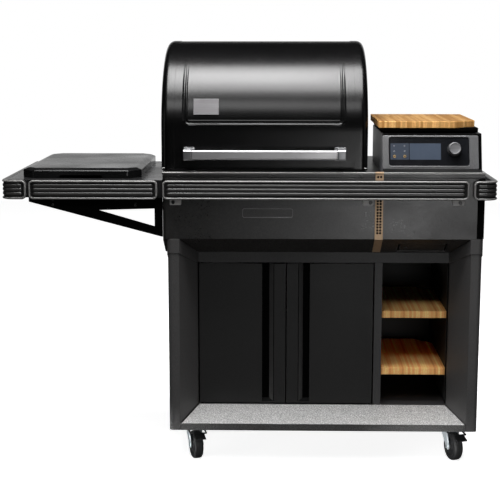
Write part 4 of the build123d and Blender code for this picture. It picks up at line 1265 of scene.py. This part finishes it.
for caster in CASTERS:
    wheel(caster)
    fork(caster)


# ===================================================================== small fittings
BODY_FACE = 19.9                   # depth of the body's front face


def strip_bore_shadows():
    """Matte black discs behind the pierced strip, painted shade seen through its holes:
    groups of four, and a pair above.
    """
    bore = [(0.0, 0.0), (2.6, 0.0), (2.6, 1.32), (3.55, 1.32), (3.55, 1.45), (3.1, 1.55),
            (0.0, 1.40)]
    spots = [(393.2 + dx, group_z + dz)
             for group_z in (832.2, 814.5, 796.3, 778.7, 761.0, 743.2)
             for dx in (-4.3, 4.3) for dz in (-4.2, 4.2)]
    spots += [(388.9, 909.5), (397.5, 909.5)]
    bm = bmesh.new()
    for x, z in spots:
        lathe(bm, bore, forward_axes(x, BODY_FACE, z), 20)
    add_piece(bm, "strip_bore_shadows", "matte", sharp=40, weld=False)


def nameplate_rim():
    outer = rounded_rect(-19.6, 134.0, 785.0, 814.0, 6.5)
    inner = rounded_rect(-17.4, 131.8, 787.2, 811.8, 4.8)
    crest = scaled_about(outer, (57.2, 799.5), 0.994, 0.99)
    bm = bmesh.new()
    ring_loft(bm, [at_depth(outer, 17.05), at_depth(outer, 16.3), at_depth(crest, 16.0),
                   at_depth(inner, 16.0), at_depth(inner, 16.95)])
    add_piece(bm, "nameplate_rim", "badge", sharp=40, weld=False)


def body_top_trims():
    """Trim along the body's top front edge, either side of the strip's own hook."""
    section = [(17.9, 917.4), (17.3, 918.4), (17.3, 921.4), (18.0, 922.7), (19.4, 923.4),
               (22.6, 923.4), (23.8, 922.7), (24.2, 920.1), (19.9, 920.1),
               (19.9, 917.4)]                        # (depth, z)
    # name, left x, right x, look, slot, lift of the section's upper part
    for name, x0, x1, look, slot, lift in (
            ("body_top_trim", -262.0, 379.8, "trim", "stainless", 0.0),
            ("body_top_trim_right", 406.8, 709.4, "trim", "stainless", 0.0),
            ("strip_hook", 380.6, 406.0, "bronze", "bronze", 0.9)):
        raised = [(depth, z + lift if z > 918.0 and depth < 23.9 else z)
                  for depth, z in section]
        bm = bmesh.new()
        solid_loft(bm, [at_x(raised, x0), at_x(raised, x1)])
        add_piece(bm, name, look, sharp=30, weld=False)


def front_screws():
    # x, depth, z, radius, height, turn in degrees
    screws = [(x, BODY_FACE, z, 3.4, 2.4, 12.0)
              for x, z in ((-209.8, 911.0), (64.1, 911.4), (338.0, 911.8))]
    screws += [(x, 13.95, TAB_SCREW_Z, 4.6, 3.0, 20.0) for x in (-228.4, 367.2, 636.0)]
    screws += [(x, BODY_FACE, 821.5, 3.4, 2.0, 5.0) for x in (-594.0, -343.5)]
    bm = bmesh.new()
    for x, depth, z, radius, height, turn in screws:
        hexagon = [(x + radius * math.cos(math.radians(60 * i + turn)),
                    z + radius * math.sin(math.radians(60 * i + turn))) for i in range(6)]
        solid_loft(bm, [
            at_depth(scaled_about(hexagon, (x, z), scale), level)
            for level, scale in ((depth, 1.0), (depth - height * 0.75, 1.0),
                                 (depth - height, 0.84))])
        washer = [(0.0, 0.0), (radius * 1.22, 0.0), (radius * 1.22, 0.5),
                  (radius * 1.12, 0.8), (0.0, 0.8)]
        lathe(bm, washer, forward_axes(x, depth, z), 24)
    add_piece(bm, "front_screws", "screw", sharp=30, weld=False)


def body_corner_painted_shade():
    """Matte black strip down the body's right front corner: painted shade on the rounded
    corner.
    """
    section = [(688.8, 19.95), (689.3, 19.3), (706.5, 19.3), (709.2, 19.7), (710.5, 21.2),
               (710.7, 23.0), (710.7, 60.0), (710.15, 60.0), (710.15, 19.95)]   # (x, depth)
    bm = bmesh.new()
    solid_loft(bm, [at_height(section, z) for z in (722.0, 904.0)])
    add_piece(bm, "body_corner_painted_shade", "matte", sharp=35, weld=False)


def cabinet_seals():
    """Seals in the slots between the cabinet walls and the legs."""
    bm = bmesh.new()
    for x0, x1 in ((-161.9, -161.1), (622.1, 622.9)):
        section = ((x0, 122.0), (x1, 122.0), (x1, 160.0), (x0, 160.0))
        solid_loft(bm, [at_height(section, z) for z in (174.5, 629.0)])
    add_piece(bm, "cabinet_seals", "matte", sharp=35, weld=False)


def kick_end_painted_shadows():
    """Painted shadow lines: matte black strips down both ends of the kick plate, where its
    side flanges shade the gap.
    """
    bm = bmesh.new()
    for front_x, back_x, width in ((-212.2, -161.2, 3.2), (673.2, 622.2, -3.2)):
        solid_loft(bm, [
            at_depth([(x, low), (x + width, low), (x + width, high), (x, high)], depth)
            for x, depth, low, high in ((front_x, 20.2, 137.1, 137.6),
                                        (back_x, 110.0, 173.55, 174.0))])
    add_piece(bm, "kick_end_painted_shadows", "matte", sharp=35, weld=False)


def hopper_front_painted_shadow():
    # matte black strip on the deck in front of the hopper: painted shadow
    section = [(24.6, 920.1), (24.8, 921.6), (26.0, 922.2), (40.0, 922.2), (41.5, 921.6),
               (41.5, 920.1)]                        # (depth, z)
    bm = bmesh.new()
    solid_loft(bm, [at_x(section, x) for x in (409.0, 704.0)])
    add_piece(bm, "hopper_front_painted_shadow", "matte", sharp=30, weld=False)


def lid_stops():
    bm = bmesh.new()
    for x0, x1 in ((-184.0, -162.0), (264.0, 286.0)):
        pad = rounded_rect(x0, x1, 46.0, 60.0, 4.0, 4)
        middle = ((x0 + x1) / 2, 53.0)
        solid_loft(bm, [
            at_height(scaled_about(pad, middle, scale), z)
            for z, scale in ((920.1, 1.0), (922.6, 1.0), (923.5, 0.93), (923.9, 0.8))])
    add_piece(bm, "lid_stops", "rubber", sharp=35, weld=False)


strip_bore_shadows()
nameplate_rim()
body_top_trims()
front_screws()
body_corner_painted_shade()
cabinet_seals()
kick_end_painted_shadows()
hopper_front_painted_shadow()
lid_stops()


# ===================================================================== floor (metres)
FLOOR_HALF, FLOOR_CELLS, FLOOR_Z = 6.0, 24, -0.0004
FLOOR_GLOW = 0.90                  # emission seen by the camera only


def floor_material():
    material, sh = new_shader("floor_pale")
    mottle = sh.noise(sh.coords(), scale=3.0, detail=4.0, rough=0.6)
    camera_ray = sh.add("LightPath").outputs["Is Camera Ray"]
    sh.surface({
        "Base Color": sh.mix(mottle, (0.90, 0.90, 0.90), (0.93, 0.93, 0.93)),
        "Roughness": 0.85,
        "Specular IOR Level": 0.1,
        "Emission Color": (1, 1, 1),
        "Emission Strength": sh.math("MULTIPLY", camera_ray, FLOOR_GLOW),
    })
    # the object sees a much darker floor than the camera does
    dark = sh.add("BsdfDiffuse", {"Color": (0.09, 0.09, 0.09)})
    seen = sh.add("MixShader", {0: camera_ray, 1: dark.outputs[0], 2: sh.bsdf.outputs[0]})
    output = next(n for n in sh.tree.nodes if n.type == "OUTPUT_MATERIAL")
    sh.feed(output, {0: seen.outputs[0]})
    return material


def stage_floor():
    bm = bmesh.new()
    steps = [-FLOOR_HALF + 2 * FLOOR_HALF * i / FLOOR_CELLS for i in range(FLOOR_CELLS + 1)]
    rows = [verts(bm, [(x, y, FLOOR_Z) for x in steps]) for y in steps]
    bridge_rows(bm, rows, False)
    mesh = bpy.data.meshes.new("floor")
    bm.to_mesh(mesh)
    bm.free()
    floor = bpy.data.objects.new("floor", mesh)
    bpy.context.scene.collection.objects.link(floor)
    mesh.materials.append(floor_material())


stage_floor()

# ===================================================================== lights (metres)
# name, location, target, width and height, power in watts, spread in degrees
LIGHTS = (
    ("softbox_top", (0.12, -0.28, 3.1), (0.12, -0.14, 0.9), (2.3, 1.12), 99, 180.0),
    ("softbox_fore", (0.12, -1.05, 3.1), (0.12, -1.05, 0.9), (2.3, 0.42), 36, 180.0),
    ("softbox_fore_low", (0.12, -1.48, 3.1), (0.12, -1.48, 0.9), (2.3, 0.42), 7, 180.0),
    ("softbox_core", (-0.04, -0.38, 3.05), (-0.04, -0.10, 0.9), (0.80, 0.66), 13, 180.0),
    ("softbox_front", (-0.25, -2.5, 3.0), (0.1, -0.2, 0.7), (2.1, 0.7), 21, 180.0),
    ("softbox_low", (1.10, -4.4, 0.28), (0.5, 0.0, 0.75), (1.2, 0.55), 13, 180.0),
    ("softbox_left", (-3.4, -1.6, 1.5), (0.0, 0.0, 0.7), (0.8, 2.0), 3, 180.0),
    ("softbox_right", (3.2, -1.6, 1.6), (0.0, 0.0, 0.7), (0.8, 2.0), 2, 180.0),
    ("kicker_left", (-0.65, -0.65, 0.05), (-0.18, -0.2, 0.07), (0.2, 0.06), 0.13, 26.0),
    ("kicker_mid", (0.20, -0.70, 0.05), (0.62, -0.2, 0.07), (0.2, 0.06), 0.14, 24.0),
)


def area_light(name, location, target, size, power, spread):
    light = bpy.data.lights.new(name, "AREA")
    light.shape = "RECTANGLE"
    light.size, light.size_y = size
    light.energy = power
    light.spread = math.radians(spread)
    lamp = bpy.data.objects.new(name, light)
    lamp.location = location
    aim = Vector(target) - Vector(location)
    lamp.rotation_euler = aim.to_track_quat("-Z", "Y").to_euler()
    lamp.visible_camera = False
    bpy.context.scene.collection.objects.link(lamp)


for light_row in LIGHTS:
    area_light(*light_row)


def studio_world():
    """White to the camera; to the object nearly black, with a bright patch low behind it."""
    world = bpy.data.worlds.new("studio")
    bpy.context.scene.world = world
    world.use_nodes = True
    world.node_tree.nodes.clear()
    sh = Shader(world.node_tree)
    ray = sh.separate(sh.coordinate("Generated"))
    behind = sh.remap(ray["Y"], span=(0.72, 0.94), to=(0.0, 0.80), kind="SMOOTHSTEP")
    low = sh.remap(ray["Z"], span=(0.12, 0.30), to=(1.0, 0.0), kind="SMOOTHSTEP")
    ambient = 0.010
    level = sh.math("ADD", sh.math("MULTIPLY", behind, low), ambient)
    camera_ray = sh.add("LightPath").outputs["Is Camera Ray"]
    seen = sh.add("MixRGB", {0: camera_ray, 1: level, 2: (1, 1, 1)})
    background = sh.add("Background", {0: seen.outputs[0]})
    sh.add("OutputWorld", {0: background.outputs[0]})


def camera():
    data = bpy.data.cameras.new("camera")
    data.lens = 89.80
    data.sensor_width = 36.0
    view = bpy.data.objects.new("camera", data)
    view.location = (0.08585, -4.03177, 1.3284)
    view.rotation_euler = (math.radians(80.2376), 0.0, math.radians(1.2565))
    scene = bpy.context.scene
    scene.collection.objects.link(view)
    scene.camera = view
    scene.view_settings.view_transform = "Standard"
    scene.view_settings.look = "None"


studio_world()
camera()
